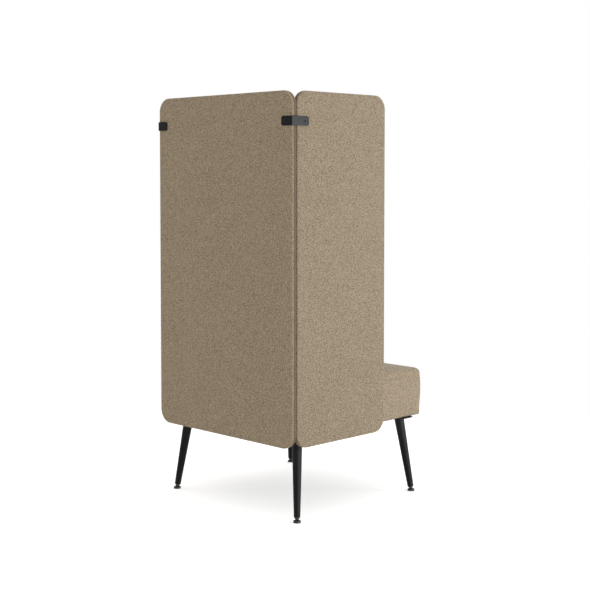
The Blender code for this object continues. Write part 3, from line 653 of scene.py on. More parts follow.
def sunk_strip(cover, thin, outer, inner, binding_from):
    """Sinks the edge beyond a distance from the outer face, and copies out the floor."""
    inward = 1 if inner > outer else -1
    cut_at = Vector((0, 0, 0))
    cut_at[thin] = outer + inward * binding_from
    cut_way = Vector((0, 0, 0))
    cut_way[thin] = 1
    pick(cover, 'FACE', lambda centre, normal: abs(normal[thin]) < 0.01)
    bpy.ops.mesh.bisect(plane_co=cut_at, plane_no=cut_way)
    object_mode()
    pick(cover, 'FACE', lambda centre, normal: (
        abs(normal[thin]) < 0.01 and abs(centre[thin] - outer) > binding_from))
    bpy.ops.mesh.inset(thickness=0.0004, depth=0)
    bpy.ops.mesh.inset(thickness=0.0003, depth=-CHANNEL_DEPTH)
    bpy.ops.mesh.duplicate()
    bpy.ops.mesh.separate(type='SELECTED')
    object_mode()
    return next(item for item in bpy.context.selected_objects if item != cover)


def raise_binding(strip):
    """Turns a flat ribbon of faces into a low round welt that fills the channel."""
    pick_all(strip)
    bpy.ops.mesh.normals_make_consistent(inside=False)
    for width, rise in ((0.0008, CHANNEL_DEPTH - BINDING_PROUD),
                        (0.0012, BINDING_PROUD * 1.2), (0.0016, BINDING_PROUD * 0.6)):
        bpy.ops.mesh.inset(thickness=width, depth=rise)
    object_mode()
    apply_new(strip, 'SOLIDIFY', thickness=0.0010, offset=-1)
    smooth(strip, 60)


# %% The three screens
# Name, axis through the screen (0 for X, 1 for Y), rounding of the outer rim, and distance
# of the binding from the outer face.
SCREENS = (("back_screen", 1, 0.0046, 0.0086), ("left_screen", 0, 0.0042, 0.0046),
           ("right_screen", 0, 0.0042, 0.0046))
for prefix, thin, outer_rounding, binding_from in SCREENS:
    cover, outer, inner = screen_slab(prefix, thin, outer_rounding)
    strip = sunk_strip(cover, thin, outer, inner, binding_from)
    strip.name = prefix + "_binding"
    strip.data.name = strip.name
    raise_binding(strip)
    smooth(cover, 45)
    for piece in (cover, strip):
        cloth_run(piece)
    dress(cover, screen_wool, "chair", "screen_fabric",
          prefix + "_outer_cover", prefix + "_inner_cover")
    dress(strip, binding, "chair", "screen_fabric")

# %% [markdown]
# ## The corner brackets
#
# Flat bar is bent round each rear corner and screwed to both screens. The bar starts as a
# block for the short leg, its end face is spun through a quarter turn for the tight bend,
# and extruded for the long leg. Then the outer corners are rounded, a hole for the screw is
# drilled through each leg with a Boolean modifier, and all edges are eased, which is what
# lets a black piece show its outline. The wear in the finish is worked out at the points of
# the mesh and runs from one to the next, so each large face gets a border close to its edge
# that keeps the wear there.

# %% The bent bar
BAR_THICKNESS = 0.003
BEND_RADIUS = 0.0012
BAR_END = 0.007
HOLE_RADIUS = 0.0031
DRILL_LENGTH = 0.04
WEAR_BORDER = 0.0007
QUARTER = math.radians(90)


def drill(piece, middle, turn, radius, depth, sides=32):
    """A hole cut with a cylinder about a point."""
    bare()
    bpy.ops.mesh.primitive_cylinder_add(
        vertices=sides, radius=radius, depth=depth, location=middle, rotation=turn)
    tool = named("drill")
    apply_new(piece, 'BOOLEAN', object=tool, operation='DIFFERENCE', solver='EXACT')
    bpy.data.objects.remove(tool)


def bent_bar(name, low, high):
    """A short leg, a quarter turn and a long leg, inside a box."""
    face_x = low.x + BAR_THICKNESS
    face_y = high.y - BAR_THICKNESS
    bend = Vector((face_x + BEND_RADIUS, face_y - BEND_RADIUS, 0))
    piece = block(name, (bend.x, face_y, low.z), (high.x, high.y, high.z))
    pick(piece, 'FACE', lambda centre, normal: normal.x < -0.9)
    bpy.ops.mesh.spin(
        steps=10, angle=-QUARTER, center=(bend.x, bend.y, low.z), axis=(0, 0, 1))
    bpy.ops.mesh.extrude_region_move(TRANSFORM_OT_translate={"value": (0, low.y - bend.y, 0)})
    object_mode()
    outward(piece)
    return piece


# %% Brackets


def corner_bracket(name, node):
    """The bar with round ends, two holes and eased edges."""
    low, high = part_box(node)
    piece = bent_bar(name, low, high)
    far_x = high.x - 0.0001
    near_y = low.y + 0.0001
    round_edges(piece, lambda centre, way: (
        abs(way.z) < 0.1 and (centre.x > far_x or centre.y < near_y)), BAR_END, 8)
    for place, turn in (("back", (QUARTER, 0, 0)), ("side", (0, QUARTER, 0))):
        screw_low, screw_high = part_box("bracket_screw_left_" + place)
        drill(piece, (screw_low + screw_high) / 2, turn, HOLE_RADIUS, DRILL_LENGTH)
    ease_edges(piece, 0.0005, 3)
    pick(piece, 'FACE', lambda centre, normal: max(abs(normal.x), abs(normal.y)) > 0.9999)
    bpy.ops.mesh.inset(thickness=WEAR_BORDER, depth=0, use_individual=False)
    object_mode()
    return piece


left_bracket = corner_bracket("corner_bracket_left_bar", "corner_bracket_left")
mirror = Matrix.Scale(-1, 4, (1, 0, 0))
right_bracket = copy_of(left_bracket, "corner_bracket_right_bar", mirror)
outward(right_bracket)
for bracket, hand in ((left_bracket, "left"), (right_bracket, "right")):
    dress(bracket, bracket_coat, "chair", "black_metal", "corner_bracket_" + hand)
print("bracket size", tuple(round(value, 4) for value in left_bracket.dimensions))

# %% [markdown]
# ## The bracket screws
#
# Low button heads with a deep hexagon socket, which shows as a dark dot. One is modelled
# standing on Z: a round blank with a shank that fills the bar's hole, its upper edge
# rounded, and a six-sided hole sunk into it. Copies are laid on the brackets where the model
# has its screws.

# %% Screws


def button_screw(name, radius, rise, socket, depth, root=-0.0004, shank=None):
    """A head that stands on Z 0, on a shank that goes down to the root."""
    shank = shank or radius * 0.97
    head = turned(name, [(shank, root), (shank, -0.0001), (radius, 0.0001), (radius, rise * 0.35),
                         (radius * 0.93, rise * 0.68), (radius * 0.76, rise * 0.90),
                         (radius * 0.52, rise)], 40)
    drill(head, (0, 0, rise), (0, 0, 0), socket, 2 * depth, 6)
    smooth(head, 35)
    return head


def laid_on(point_on, outward_way):
    """The matrix that puts a piece's foot on a point with its Z along a direction."""
    turn = Vector(outward_way).to_track_quat('Z', 'Y').to_matrix().to_4x4()
    return Matrix.Translation(point_on) @ turn


model_screw = button_screw(
    "bracket_screw", radius=0.0038, rise=0.0019, socket=0.0021, depth=0.0042, root=-0.0028,
    shank=HOLE_RADIUS)
for hand, side in (("left", -1), ("right", 1)):
    for place, way in (("back", (0, 1, 0)), ("side", (side, 0, 0))):
        node = f"bracket_screw_{hand}_{place}"
        low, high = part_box(node)
        foot = (low + high) / 2
        bar_low, bar_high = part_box("corner_bracket_" + hand)
        if place == "back":
            foot.y = bar_high.y
        else:
            foot.x = bar_low.x if side < 0 else bar_high.x
        screw = copy_of(model_screw, node + "_head", laid_on(foot, way))
        dress(screw, black_zinc, "chair", "black_metal", node)
bpy.data.objects.remove(model_screw)

# %% [markdown]
# ## Soft blocks
#
# The seat is a block of foam in a tight cover, and the back cushion is the same thing
# standing up. Each starts as a rounded block that is remeshed to small even quads. Moves of
# its points then crown it where it is free and leave it flat where it rests, and that gives
# it its shape. A cloth simulation with pressure inside follows. Left alone it would blow the
# cover up like a balloon, because nothing here stands for the foam that holds the cloth. So
# no point may move further than about a millimetre, and the simulation only eases the
# cover. The seams come last, pressed in as narrow channels with small puckers.

# %% Points and starting blocks
VOXEL = 0.007


def rows_of(mesh, label):
    """The places or the normals of a mesh's points, one row each."""
    flat = np.empty(len(mesh.vertices) * 3)
    mesh.vertices.foreach_get(label, flat)
    return flat.reshape(-1, 3)


def points_of(piece):
    """The places of a piece's points, one row each."""
    return rows_of(piece.data, "co")


def set_points(piece, points):
    """Moves the points of a piece to these places."""
    piece.data.vertices.foreach_set("co", points.ravel())
    piece.data.update()


def smoothstep(value, start, end):
    """A soft step from 0 to 1 between two values."""
    share = np.clip((value - start) / (end - start), 0, 1)
    return share * share * (3 - 2 * share)


def rounded_block(name, low, high, axis, corner, rim, foot):
    """A block along an axis: its upright corners, its crowned rim and its foot rounded."""
    piece = block(name, low, high)
    round_edges(piece, lambda centre, way: abs(way[axis]) > 0.9, corner, 10)
    top = high[axis] if axis == 2 else low[axis]
    base = low[axis] if axis == 2 else high[axis]
    for level, radius, segments in ((top, rim, 10), (base, foot, 5)):
        round_edges(
            piece, lambda centre, way: abs(centre[axis] - level) < 0.0001, radius, segments)
    piece.data.remesh_voxel_size = VOXEL
    only(piece)
    bpy.ops.object.voxel_remesh()
    return piece


# %% The cloth simulation
FRAMES = 20
PRESSURE = 4.0


def let_swell(piece, held, cap):
    """Cloth with air pressure inside; held points stay, and no point moves past the cap."""
    start = points_of(piece)
    group = piece.vertex_groups.new(name="held")
    group.add([int(index) for index in np.flatnonzero(held)], 1.0, 'REPLACE')
    cloth = piece.modifiers.new("Cloth", 'CLOTH')
    cloth.settings.quality = 4
    cloth.settings.mass = 0.3
    cloth.settings.tension_stiffness = 25
    cloth.settings.compression_stiffness = 25
    cloth.settings.bending_stiffness = 2.0
    cloth.settings.use_pressure = True
    cloth.settings.uniform_pressure_force = PRESSURE
    cloth.settings.effector_weights.gravity = 0
    cloth.settings.vertex_group_mass = "held"
    scene = bpy.context.scene
    for number in range(1, FRAMES + 1):
        scene.frame_set(number)
    blown = rows_of(piece.evaluated_get(bpy.context.evaluated_depsgraph_get()).data, "co")
    piece.modifiers.remove(cloth)
    piece.vertex_groups.remove(group)
    scene.frame_set(1)
    move = blown - start
    length = np.linalg.norm(move, axis=1, keepdims=True)
    move *= np.minimum(1, cap / np.maximum(length, 1e-9))
    set_points(piece, start + move)
    print(piece.name, "simulated moves of up to", round(float(length.max()) * 1000, 1),
          "mm, each cut to", round(cap * 1000, 1), "mm at most")


# %% Seams
SEAM_HALF = 0.0020
GROOVE_REACH = 0.0014
PULL_REACH = 0.009
PUCKER_STEP = 0.011


def sew(piece, face_test, spot, way, run_axis, depth=0.0022):
    """Cuts three close edges along a plane and presses them in as a seam with puckers."""
    way = Vector(way).normalized()
    for offset in (-SEAM_HALF, 0, SEAM_HALF):
        pick(piece, 'FACE', face_test)
        bpy.ops.mesh.bisect(plane_co=Vector(spot) + way * offset, plane_no=way)
        object_mode()
    points = points_of(piece)
    normals = rows_of(piece.data, "normal")
    distance = (points - np.array(spot)) @ np.array(way)
    run = points[:, run_axis]
    pucker = 0.5 + 0.5 * np.sin(run * 2 * math.pi / PUCKER_STEP + np.sin(run * 47.0))
    groove = np.exp(-(distance / GROOVE_REACH) ** 2)
    pull = np.exp(-(distance / PULL_REACH) ** 2)
    inside = np.array([bool(face_test(Vector(point), Vector(normal))) if reach > 0.01 else False
                       for point, normal, reach in zip(points, normals, pull)])
    press = (depth * groove + (0.0008 + 0.0005 * pucker) * pull) * inside
    set_points(piece, points - normals * press[:, None])
    print(piece.name, "seam of", int((groove * inside > 0.9).sum()), "points")


# %% [markdown]
# ## The seat
#
# The seat block reaches from the back screen to well in front of the side screens. Its
# top is crowned at the front, where someone sits, and flat under the back cushion. Its
# sides swell by a few millimetres at half height. A seam runs round the block where the
# top panel meets the side panels, and one runs down each front corner.

# %% Seat block
seat_low = Vector((1, 1, 1))
seat_high = Vector((-1, -1, -1))
SEAT_NODES = ["seat_cushion", "seat_padding_front", "seat_padding_rear", "seat_padding_left",
              "seat_padding_right"]
for node in SEAT_NODES:
    low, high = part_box(node)
    seat_low = Vector(map(min, seat_low, low))
    seat_high = Vector(map(max, seat_high, high))
SEAT_EDGE = 0.455
SEAT_CROWN = 0.0085
SEAT_SWELL = 0.0035
FREE_RISE = 0.003
SEAT_CORNER = 0.022
SEAT_RIM = 0.021
SEAT_FOOT = 0.006
SEAT_CAP = 0.0012
print("seat size", tuple(round(value, 4) for value in seat_high - seat_low))

start_low = seat_low + Vector((SEAT_SWELL, SEAT_SWELL, 0))
start_high = Vector((seat_high.x - SEAT_SWELL, seat_high.y - 0.001, SEAT_EDGE - 0.0015))
seat = rounded_block(
    "seat_upholstery", start_low, start_high, 2, SEAT_CORNER, SEAT_RIM, SEAT_FOOT)
cushion_low, cushion_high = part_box("back_cushion")


def shape_seat(points):
    """Crown and swell, in metres on the rounded block."""
    x, y, z = points.T
    half = seat_high.x
    rest_y = cushion_low.y
    front_y = seat_low.y
    across = np.clip(x / half, -1, 1)
    along = np.clip((y - front_y) / (rest_y - front_y), 0, 1)
    lift = SEAT_CROWN * (1 - across ** 2) * (1 - (2 * along - 1) ** 2)
    lift[y > rest_y] = 0
    upper = smoothstep(z, SEAT_EDGE - 0.045, SEAT_EDGE - 0.002)
    lift = lift + FREE_RISE * smoothstep(rest_y - 0.02 - y, 0, 0.10)
    level = np.clip((z - seat_low.z) / (SEAT_EDGE - seat_low.z), 0, 1)
    belly = SEAT_SWELL * np.sin(math.pi * level ** 1.4)
    out = np.zeros_like(points)
    out[:, 0] = np.sign(x) * belly * smoothstep(np.abs(across), 0.80, 0.98)
    out[:, 1] = -belly * smoothstep(front_y + 0.06 - y, 0, 0.05)
    out[:, 2] = upper * lift
    return points + out


set_points(seat, shape_seat(points_of(seat)))
let_swell(seat, points_of(seat)[:, 2] < seat_low.z + 0.014, SEAT_CAP)
apply_new(seat, 'SUBSURF', levels=1, render_levels=1)

# %% Seat seams
SEAM_LEVEL = SEAT_EDGE - 0.0245
on_sides = lambda centre, normal: abs(normal.z) < 0.6 and centre.z > SEAT_EDGE - 0.05
sew(seat, on_sides, (0, 0, SEAM_LEVEL), (0, 0, 1), 0)
for side in (-1, 1):
    spot = (side * (seat_high.x - SEAT_CORNER), seat_low.y + SEAT_CORNER, 0)
    on_corner = lambda centre, normal: (
        normal.x * side > 0.35 and normal.y < -0.35
        and seat_low.z + 0.006 < centre.z < SEAM_LEVEL - 0.002)
    sew(seat, on_corner, spot, (side, 1, 0), 2, 0.0018)
only(seat)
bpy.ops.object.shade_smooth()
cloth_run(seat)
# The seat's wool is painted lighter than the screens' to stand for the stronger light on it.
dress(seat, seat_wool_painted_lighter, "chair", "seat_fabric", *SEAT_NODES)

# %% [markdown]
# ## The back cushion
#
# A box cushion stands on the seat and leans on the back screen. Its front is crowned, its
# rear is flat on its board and its foot is flat on the seat. A seam runs round the front
# and another round the rear, and between them the border of the cushion bellies out a
# little. It is built like the seat, on its side: its crowned axis is Y.

# %% Back cushion block
CUSHION_CORNER = 0.030
CUSHION_CROWN = 0.012
CUSHION_SWELL = 0.0025
CUSHION_RIM = 0.026
CUSHION_FOOT = 0.009
CUSHION_CAP = 0.0015
cushion_start_low = Vector((cushion_low.x + 0.002, cushion_low.y + CUSHION_CROWN, cushion_low.z))
cushion_start_high = Vector((cushion_high.x - 0.002, cushion_high.y, cushion_high.z - 0.002))
cushion = rounded_block(
    "back_cushion_upholstery", cushion_start_low, cushion_start_high, 1, CUSHION_CORNER,
    CUSHION_RIM, CUSHION_FOOT)


def shape_cushion(points):
    """Crown on the front face and belly on the border."""
    x, y, z = points.T
    middle_z = (cushion_low.z + cushion_high.z) / 2
    across = np.clip(x / cushion_high.x, -1, 1)
    upright = np.clip((z - middle_z) / (cushion_high.z - middle_z), -1, 1)
    lift = CUSHION_CROWN * (1 - across ** 2) * (1 - upright ** 2)
    facing = smoothstep(cushion_start_low.y + 0.05 - y, 0, 0.045)
    depth = np.clip((y - cushion_low.y) / (cushion_high.y - cushion_low.y), 0, 1)
    belly = CUSHION_SWELL * (1 - (2 * depth - 1) ** 2)
    out = np.zeros_like(points)
    out[:, 0] = np.sign(x) * belly * smoothstep(np.abs(across), 0.80, 0.98)
    out[:, 1] = -lift * facing
    out[:, 2] = belly * smoothstep(upright, 0.80, 0.98)
    return points + out


set_points(cushion, shape_cushion(points_of(cushion)))
cushion_points = points_of(cushion)
on_seat = cushion_points[:, 2] < cushion_low.z + 0.006
on_board = cushion_points[:, 1] > cushion_high.y - 0.006
let_swell(cushion, on_seat | on_board, CUSHION_CAP)
apply_new(cushion, 'SUBSURF', levels=1, render_levels=1)

# %% Back cushion seams
for level in (cushion_start_low.y + 0.020, cushion_high.y - 0.013):
    on_border = lambda centre, normal: (
        abs(normal.y) < 0.6 and abs(centre.y - level) < 0.012 and centre.z > cushion_low.z + 0.004)
    sew(cushion, on_border, (0, level, 0), (0, 1, 0), 2)
only(cushion)
bpy.ops.object.shade_smooth()
cloth_run(cushion)
# The cushion shares the seat's wool, painted lighter than the screens'.
dress(cushion, seat_wool_painted_lighter, "chair", "seat_fabric", "back_cushion")

# %% [markdown]
# ## Legs
#
# Each leg is a tapered steel tube that leans out at 9.8 degrees towards its corner. One
# leg is turned standing on Z, with the centre of the glide's ball at the origin, and a
# copy is leaned over each foot. It is made too long, and its top is then cut level inside
# the plate. A weld bead runs round the joint.

# %% The model leg
SPLAY = math.radians(9.8)
BALL_Z = 0.0068
LEG_END = 0.0116
TUBE_END = 0.0112
TUBE_TOP = 0.0180
LIP = 0.0009
SPARE = 0.012
plate_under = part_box("leg_front_left")[1].z
leg_length = (plate_under - BALL_Z) / math.cos(SPLAY)
taper = (TUBE_TOP - TUBE_END) / (leg_length - LEG_END)


def tube_radius(height):
    """The tube's radius at a height along the leg."""
    return TUBE_END + taper * (height - LEG_END)


model_leg = turned("leg_tube", [
    (TUBE_END - 0.0018, LEG_END + 0.0004), (TUBE_END - 0.0006, LEG_END),
    (TUBE_END - 0.0002, LEG_END + 0.0002), (TUBE_END, LEG_END + LIP * 0.6),
    *((tube_radius(height), height)
      for height in (LEG_END + LIP, 0.03, 0.10, 0.19, leg_length + SPARE))], 72)
print("model leg", round(leg_length, 4), "m long, top radius", round(tube_radius(leg_length), 4))

# %% Where each leg goes
FEET = []
for end, word in ((1, "rear"), (-1, "front")):
    for side, hand in ((-1, "left"), (1, "right")):
        name = f"{word}_{hand}"
        low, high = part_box("glide_base_" + name)
        ball = Vector(((low.x + high.x) / 2, (low.y + high.y) / 2, BALL_Z))
        lean = math.sin(SPLAY) / math.sqrt(2)
        way = Vector((-side * lean, -end * lean, math.cos(SPLAY)))
        turn = Vector((0, 0, 1)).rotation_difference(way).to_matrix().to_4x4()
        FEET.append((name, ball, way, Matrix.Translation(ball) @ turn))
print("feet at", [tuple(round(value, 4) for value in ball.xy) for _, ball, _, _ in FEET])

# %% Legs with their welds
LEG_INTO_PLATE = 0.0011
WELD_RISE = 0.0003
WELD_RADIUS = 0.0019
WELD_RIPPLES = 24


def weld_bead(name, centre, radius):
    """A ring of small overlapping ripples where the tube meets the plate."""
    bare()
    bpy.ops.mesh.primitive_torus_add(
        location=centre, major_radius=radius, minor_radius=WELD_RADIUS, major_segments=96,
        minor_segments=10)
    piece = named(name)
    points = points_of(piece)
    offset = points - np.array(centre)
    angle = np.arctan2(offset[:, 1], offset[:, 0])
    ripple = 1 + 0.10 * np.sin(angle * WELD_RIPPLES)
    toward = np.stack([np.cos(angle), np.sin(angle)], 1) * radius
    offset[:, :2] = toward + (offset[:, :2] - toward) * ripple[:, None]
    offset[:, 2] *= ripple
    set_points(piece, np.array(centre) + offset)
    return piece


for name, ball, way, matrix in FEET:
    leg = copy_of(model_leg, "leg_tube_" + name, matrix)
    pick_all(leg)
    bpy.ops.mesh.bisect(
        plane_co=(0, 0, plate_under + LEG_INTO_PLATE), plane_no=(0, 0, 1), use_fill=True,
        clear_outer=True)
    object_mode()
    top = ball + way * leg_length
    weld_at = (top.x, top.y, plate_under + WELD_RISE)
    joined(leg, weld_bead("weld", weld_at, tube_radius(leg_length)))
    smooth(leg, 40)
    dress(leg, black_coat, "chair", "black_metal", "leg_" + name)
bpy.data.objects.remove(model_leg)

# %% [markdown]
# ## Leg plates
#
# A square plate with round corners is welded on each leg and held to the seat by four
# screws. The plate is a block with bevelled corners and eased edges, a little thinner than
# the model's and with its top at the same height, because the photograph shows a very thin
# dark line there. The heads are the same button screw as above, wider and nearly flush.

# %% Plates
PLATE_LIFT = 0.0014
PLATE_THICKNESS = 0.0029
PLATE_CORNER = 0.008
SCREW_SPACING = 0.040
plate_screw = button_screw(
    "plate_screw", radius=0.0045, rise=0.0013, socket=0.0020, depth=0.0009)
for name, *_ in FEET:
    low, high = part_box("leg_plate_" + name)
    middle = (low + high) / 2
    floor_z = plate_under + PLATE_LIFT
    plate = block("leg_plate_body_" + name, (low.x, low.y, floor_z),
                  (high.x, high.y, floor_z + PLATE_THICKNESS))
    round_edges(plate, lambda centre, run_way: abs(run_way.z) > 0.9, PLATE_CORNER, 8)
    ease_edges(plate, 0.0004, 2)
    heads = []
    for step_x in (-0.5, 0.5):
        for step_y in (-0.5, 0.5):
            foot = (middle.x + step_x * SCREW_SPACING, middle.y + step_y * SCREW_SPACING, floor_z)
            heads.append(copy_of(plate_screw, "head", laid_on(foot, (0, 0, -1))))
    joined(plate, *heads)
    dress(plate, black_coat, "chair", "black_metal", "leg_plate_" + name)
bpy.data.objects.remove(plate_screw)

# %% [markdown]
# ## Glides
#
# A glide has three pieces. The insert closes the end of the tube. The stud screws into it:
# it has a thread, a hexagon collar for a spanner, a washer, a short neck and a ball. The
# base snaps over the ball and tilts on it, so it lies flat on any floor. All three are
# turned once and copied, and the insert and stud lean with the leg while the base lies
# flat. The thread is a real helix, because it shows when the glide is screwed out.

# %% Insert
FLANGE_LOW = 0.0098
FLANGE_TOP = 0.0113
BORE = 0.0043
model_insert = turned("insert", [
    (BORE, FLANGE_LOW + 0.0004), (0.0096, FLANGE_LOW + 0.0003), (0.0105, FLANGE_LOW),
    (0.0110, FLANGE_LOW + 0.0003), (0.0112, FLANGE_LOW + 0.0007), (0.0112, FLANGE_TOP),
    (0.0094, FLANGE_TOP), (0.0094, FLANGE_TOP + 0.018), (BORE, FLANGE_TOP + 0.018)], 64)
pick(model_insert, 'FACE', lambda centre, normal: centre.xy.length < 0.0005)
bpy.ops.mesh.bridge_edge_loops()
object_mode()
outward(model_insert)
smooth(model_insert, 40)
print("insert", len(model_insert.data.polygons), "faces")

# %% Stud
THREAD_PITCH = 0.00125
THREAD_ROOT = 0.0034
COLLAR_TOP = 0.0095
shank = turned("shank", [
    (THREAD_ROOT, COLLAR_TOP - 0.0002), (THREAD_ROOT, COLLAR_TOP + 0.0190),
    (THREAD_ROOT - 0.0008, COLLAR_TOP + 0.0200)], 32)
bare()
bpy.ops.mesh.primitive_circle_add(
    vertices=3, radius=0.00062, location=(THREAD_ROOT + 0.00012, 0, COLLAR_TOP + 0.0008),
    rotation=(QUARTER, 0, 0))
ridge = named("ridge")
apply_new(
    ridge, 'SCREW', axis='Z', angle=math.radians(360), screw_offset=THREAD_PITCH, iterations=14,
    steps=28, render_steps=28, use_merge_vertices=True, merge_threshold=0.00001)
pick_all(ridge)
bpy.ops.mesh.fill_holes(sides=3)
outward(ridge)

collar = turned("collar", [
    (0.0074, 0.0049), (0.0083, 0.0052), (0.0085, 0.0057), (0.0085, 0.0088), (0.0083, 0.0093),
    (0.0074, 0.0096)], 6)
washer = turned("washer", [
    (0.0034, 0.0043), (0.0050, 0.0043), (0.0060, 0.0046), (0.0070, 0.0048), (0.0074, 0.0052)], 48)
neck = turned("neck", [
    (0.0006, -0.0037), (0.0020, -0.0032), (0.0032, -0.0020), (0.0038, 0.0), (0.0036, 0.0012),
    (0.0034, 0.0020), (0.0035, 0.0034), (0.0035, 0.0052)], 40)
model_stud = joined(shank, ridge, collar, washer, neck)
smooth(model_stud, 32)
print("stud", len(model_stud.data.polygons), "faces")

# %% Base
model_base = turned("base", [
    (0.0118, 0.0), (0.0129, 0.0001), (0.0132, 0.0003), (0.0133, 0.0007), (0.0133, 0.0058),
    (0.0131, 0.0064), (0.0126, 0.0068), (0.0114, 0.0071), (0.0102, 0.0075), (0.0090, 0.0083),
    (0.0079, 0.0091), (0.0071, 0.0094), (0.0052, 0.0094), (0.0046, 0.0090), (0.0042, 0.0076),
    (0.0022, 0.0072)], 72)
smooth(model_base, 40)
print("base", len(model_base.data.polygons), "faces")

# %% Glides at the four feet
for name, ball, _, matrix in FEET:
    insert = copy_of(model_insert, "leg_insert_body_" + name, matrix)
    dress(insert, insert_plastic, "chair", "dark_plastic", "leg_insert_" + name)
    stud = copy_of(model_stud, "glide_stud_body_" + name, matrix)
    dress(stud, black_zinc, "stud_" + name, "black_steel", "glide_stud_" + name)
    flat_on = Matrix.Translation((ball.x, ball.y, 0))
    base = copy_of(model_base, "glide_base_body_" + name, flat_on)
    dress(base, base_plastic, "base_" + name, "glide_plastic", "glide_base_" + name)
for model in (model_insert, model_stud, model_base):
    bpy.data.objects.remove(model)

# %% [markdown]
# ## The dust cover
#
# Thin black cloth closes the underside of the seat. It is stretched and stapled along its
# edges, so between the staples the edge draws in a little. The sheet is a grid that is
# given its thickness last, and the staples are one small piece copied round the edge.

# %% Dust cover
low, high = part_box("dust_cover")
dust_size = high - low
bare()
bpy.ops.mesh.primitive_grid_add(
    x_subdivisions=100, y_subdivisions=106, size=1,
    location=((low.x + high.x) / 2, (low.y + high.y) / 2, high.z - 0.0001))
bpy.context.object.scale = (dust_size.x, dust_size.y, 1)
sheet = named("dust_cover_cloth")
STAPLE_STEP = 0.060
DRAW_IN = 0.0012


def drawn_in(run, edge):
    """How far the sheet draws in; edge is 1 on its edge and 0 in its middle."""
    between_staples = 0.5 - 0.5 * np.cos(run * 2 * math.pi / STAPLE_STEP)
    return DRAW_IN * between_staples * smoothstep(edge, 0.96, 1)


points = points_of(sheet)
x, y = points[:, 0], points[:, 1]
centre_y = (low.y + high.y) / 2
draw_x = drawn_in(y, np.abs(x) / (dust_size.x / 2))
draw_y = drawn_in(x, np.abs(y - centre_y) / (dust_size.y / 2))
points[:, 0] -= np.sign(x) * draw_x
points[:, 1] -= np.sign(y - centre_y) * draw_y
set_points(sheet, points)
apply_new(sheet, 'SOLIDIFY', thickness=0.0006, offset=-1)
outward(sheet)
dress(sheet, dust_cloth, "chair", "dust_cloth", "dust_cover")

# %% Staples
bare()
bpy.ops.mesh.primitive_cube_add(size=1, scale=(0.010, 0.0012, 0.0006))
model_staple = named("staple")
ease_edges(model_staple, 0.00025, 1)
STAPLE_INSET = 0.006
staples = []
half_x = dust_size.x / 2 - STAPLE_INSET
half_y = dust_size.y / 2 - STAPLE_INSET
staple_z = low.z + 0.0001
spin_z = Matrix.Rotation(QUARTER, 4, 'Z')
for side in (-1, 1):
    for step in range(-3, 4):
        along_edge = step * STAPLE_STEP
        spot = Matrix.Translation((side * half_x, along_edge, staple_z))
        staples.append(copy_of(model_staple, "staple_copy", spot @ spin_z))
        spot = Matrix.Translation((along_edge, centre_y + side * half_y, staple_z))
        staples.append(copy_of(model_staple, "staple_copy", spot))
bpy.data.objects.remove(model_staple)
all_staples = joined(*staples)
all_staples.name = "dust_cover_staples"
all_staples.data.name = all_staples.name
dress(all_staples, staple_steel, "chair", "zinc_steel")

# %% [markdown]
# ## The pieces that stay as the model has them
#
# The boards, rails, bolts and fastening strips are hidden, and their plain shapes are
# right. They only get their finish.

# %% Finish on the model's own pieces
KEPT_FINISH = {"plywood": birch, "dust_cloth": dust_cloth, "zinc_steel": zinc}
slot_of = {row["node"]: row["material_slot"] for row in frame["record"]["subparts"]}
kept = [name for name, node in nodes.items() if not node.hide_render]
for name in kept:
    mesh = nodes[name].data
    mesh.materials.clear()
    mesh.materials.append(KEPT_FINISH[slot_of[name]])
print("kept from the model:", ", ".join(kept))

# %% [markdown]
# ## Floor and light
#
# The chair stands on a pale floor in a white studio. The world gives an even, slightly warm
# light from everywhere, a little stronger from above. A large soft key lamp and a smaller
# accent lamp stand in front and to the left of the chair, on the right of the picture, so
# the side screen is brighter than the back. A third lamp adds no diffuse light: it only
# shows as a soft reflection, which gives the black metal its form. To the camera and in
# reflections the world is plain white. The floor is lit near the chair, so it keeps the
# soft shadow, and fades to that same white further out.

# %% Helpers for floor and world


def shader_step(tree, kind, **values):
    """A shader node of a kind, with numbers or links on its named sockets."""
    step = tree.nodes.new(kind)
    for label, value in values.items():
        feed(tree, step.inputs[label], value)
    return step.outputs[0]


def mixed(tree, share, first, second):
    """One shader where the share is 0 and another where it is 1."""
    step = tree.nodes.new('ShaderNodeMixShader')
    for socket, value in zip(step.inputs, (share, first, second)):
        feed(tree, socket, value)
    return step.outputs[0]


def seen_plain(tree):
    """1 for the rays that see the plain background: camera, reflections and glass."""
    path = tree.nodes.new('ShaderNodeLightPath').outputs
    straight = calc(tree, 'MAXIMUM', path["Is Camera Ray"], path["Is Transmission Ray"])
    return calc(tree, 'MAXIMUM', straight, path["Is Glossy Ray"])


# %% Floor
LIT_RADIUS = 0.7
WHITE_RADIUS = 2.2
bare()
bpy.ops.mesh.primitive_circle_add(
    vertices=96, radius=14, fill_type='NGON', location=(0, 0, -0.0005))
floor = named("studio_floor")
floor_paint = bpy.data.materials.new("studio_floor")
floor_paint.use_nodes = True
tree = floor_paint.node_tree
tree.nodes.clear()
output = tree.nodes.new('ShaderNodeOutputMaterial')
place = tree.nodes.new('ShaderNodeTexCoord').outputs["Object"]
reach = tree.nodes.new('ShaderNodeVectorMath')
reach.operation = 'LENGTH'
tree.links.new(place, reach.inputs[0])
fade = tree.nodes.new('ShaderNodeMapRange')
fade.interpolation_type = 'SMOOTHSTEP'
tree.links.new(reach.outputs["Value"], fade.inputs["Value"])
fade.inputs["From Min"].default_value = LIT_RADIUS
fade.inputs["From Max"].default_value = WHITE_RADIUS
matt = shader_step(tree, 'ShaderNodeBsdfDiffuse', Color=(0.93, 0.93, 0.93, 1))
lit = tree.nodes.new('ShaderNodeAddShader')
tree.links.new(matt, lit.inputs[0])
tree.links.new(shader_step(tree, 'ShaderNodeEmission', Strength=0.47), lit.inputs[1])
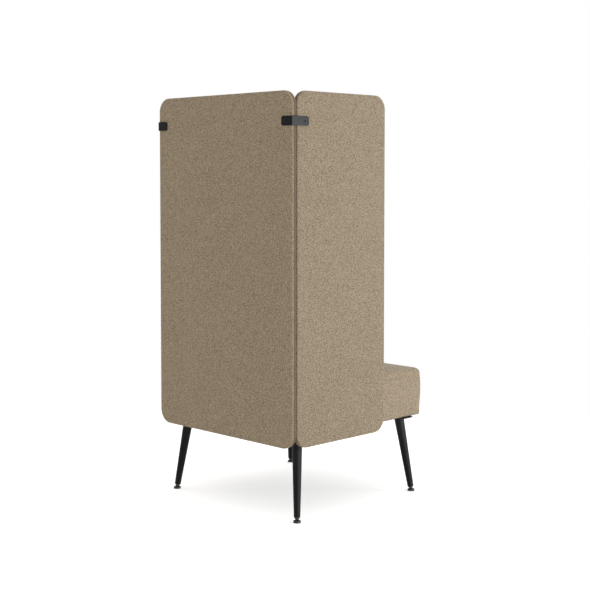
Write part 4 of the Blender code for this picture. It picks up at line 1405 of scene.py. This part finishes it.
white = shader_step(tree, 'ShaderNodeEmission', Strength=1.0)
seen = mixed(tree, fade.outputs["Result"], lit.outputs[0], white)
tree.links.new(mixed(tree, seen_plain(tree), matt, seen), output.inputs["Surface"])
floor.data.materials.append(floor_paint)
print("floor lit to", LIT_RADIUS, "m, white from", WHITE_RADIUS, "m")

# %% World
world = bpy.data.worlds.new("studio")
bpy.context.scene.world = world
world.use_nodes = True
tree = world.node_tree
tree.nodes.clear()
output = tree.nodes.new('ShaderNodeOutputWorld')
toward = tree.nodes.new('ShaderNodeSeparateXYZ')
tree.links.new(tree.nodes.new('ShaderNodeTexCoord').outputs["Generated"], toward.inputs[0])
overhead = calc(tree, 'MAXIMUM', toward.outputs[2], 0.0)
strength = calc(tree, 'MULTIPLY_ADD', overhead, 0.29, 0.705)
soft = shader_step(tree, 'ShaderNodeBackground', Color=(1, 0.982, 0.942, 1), Strength=strength)
white = shader_step(tree, 'ShaderNodeBackground', Color=(1, 1, 1, 1), Strength=1.0)
tree.links.new(mixed(tree, seen_plain(tree), soft, white), output.inputs["Surface"])
print("world of", len(tree.nodes), "nodes")

# %% Lamps
LAMP_COLOUR = (0.92, 0.97, 1.0)


def soft_lamp(name, place, target, size, power):
    """A square panel of light aimed at a point."""
    bare()
    bpy.ops.object.light_add(type='AREA', location=place)
    lamp = bpy.context.object
    lamp.name = name
    lamp.data.shape = 'RECTANGLE'
    lamp.data.size, lamp.data.size_y = size
    lamp.data.energy = power
    lamp.data.color = LAMP_COLOUR
    lamp.rotation_euler = (Vector(target) - Vector(place)).to_track_quat('-Z', 'Y').to_euler()
    print("lamp", lamp.name, lamp.data.energy, "W")
    return lamp


soft_lamp("key_light", (-3.4, -0.9, 1.05), (0, 0, 0.75), (3.0, 2.5), 24)
soft_lamp("accent_light", (-2.75, -2.45, 1.1), (-0.3, 0.2, 0.75), (1.0, 2.6), 33)
gloss = soft_lamp("gloss_light", (-3.8, -0.7, 1.3), (-0.2, 0.1, 0.7), (3.8, 2.6), 305)
gloss.visible_diffuse = False
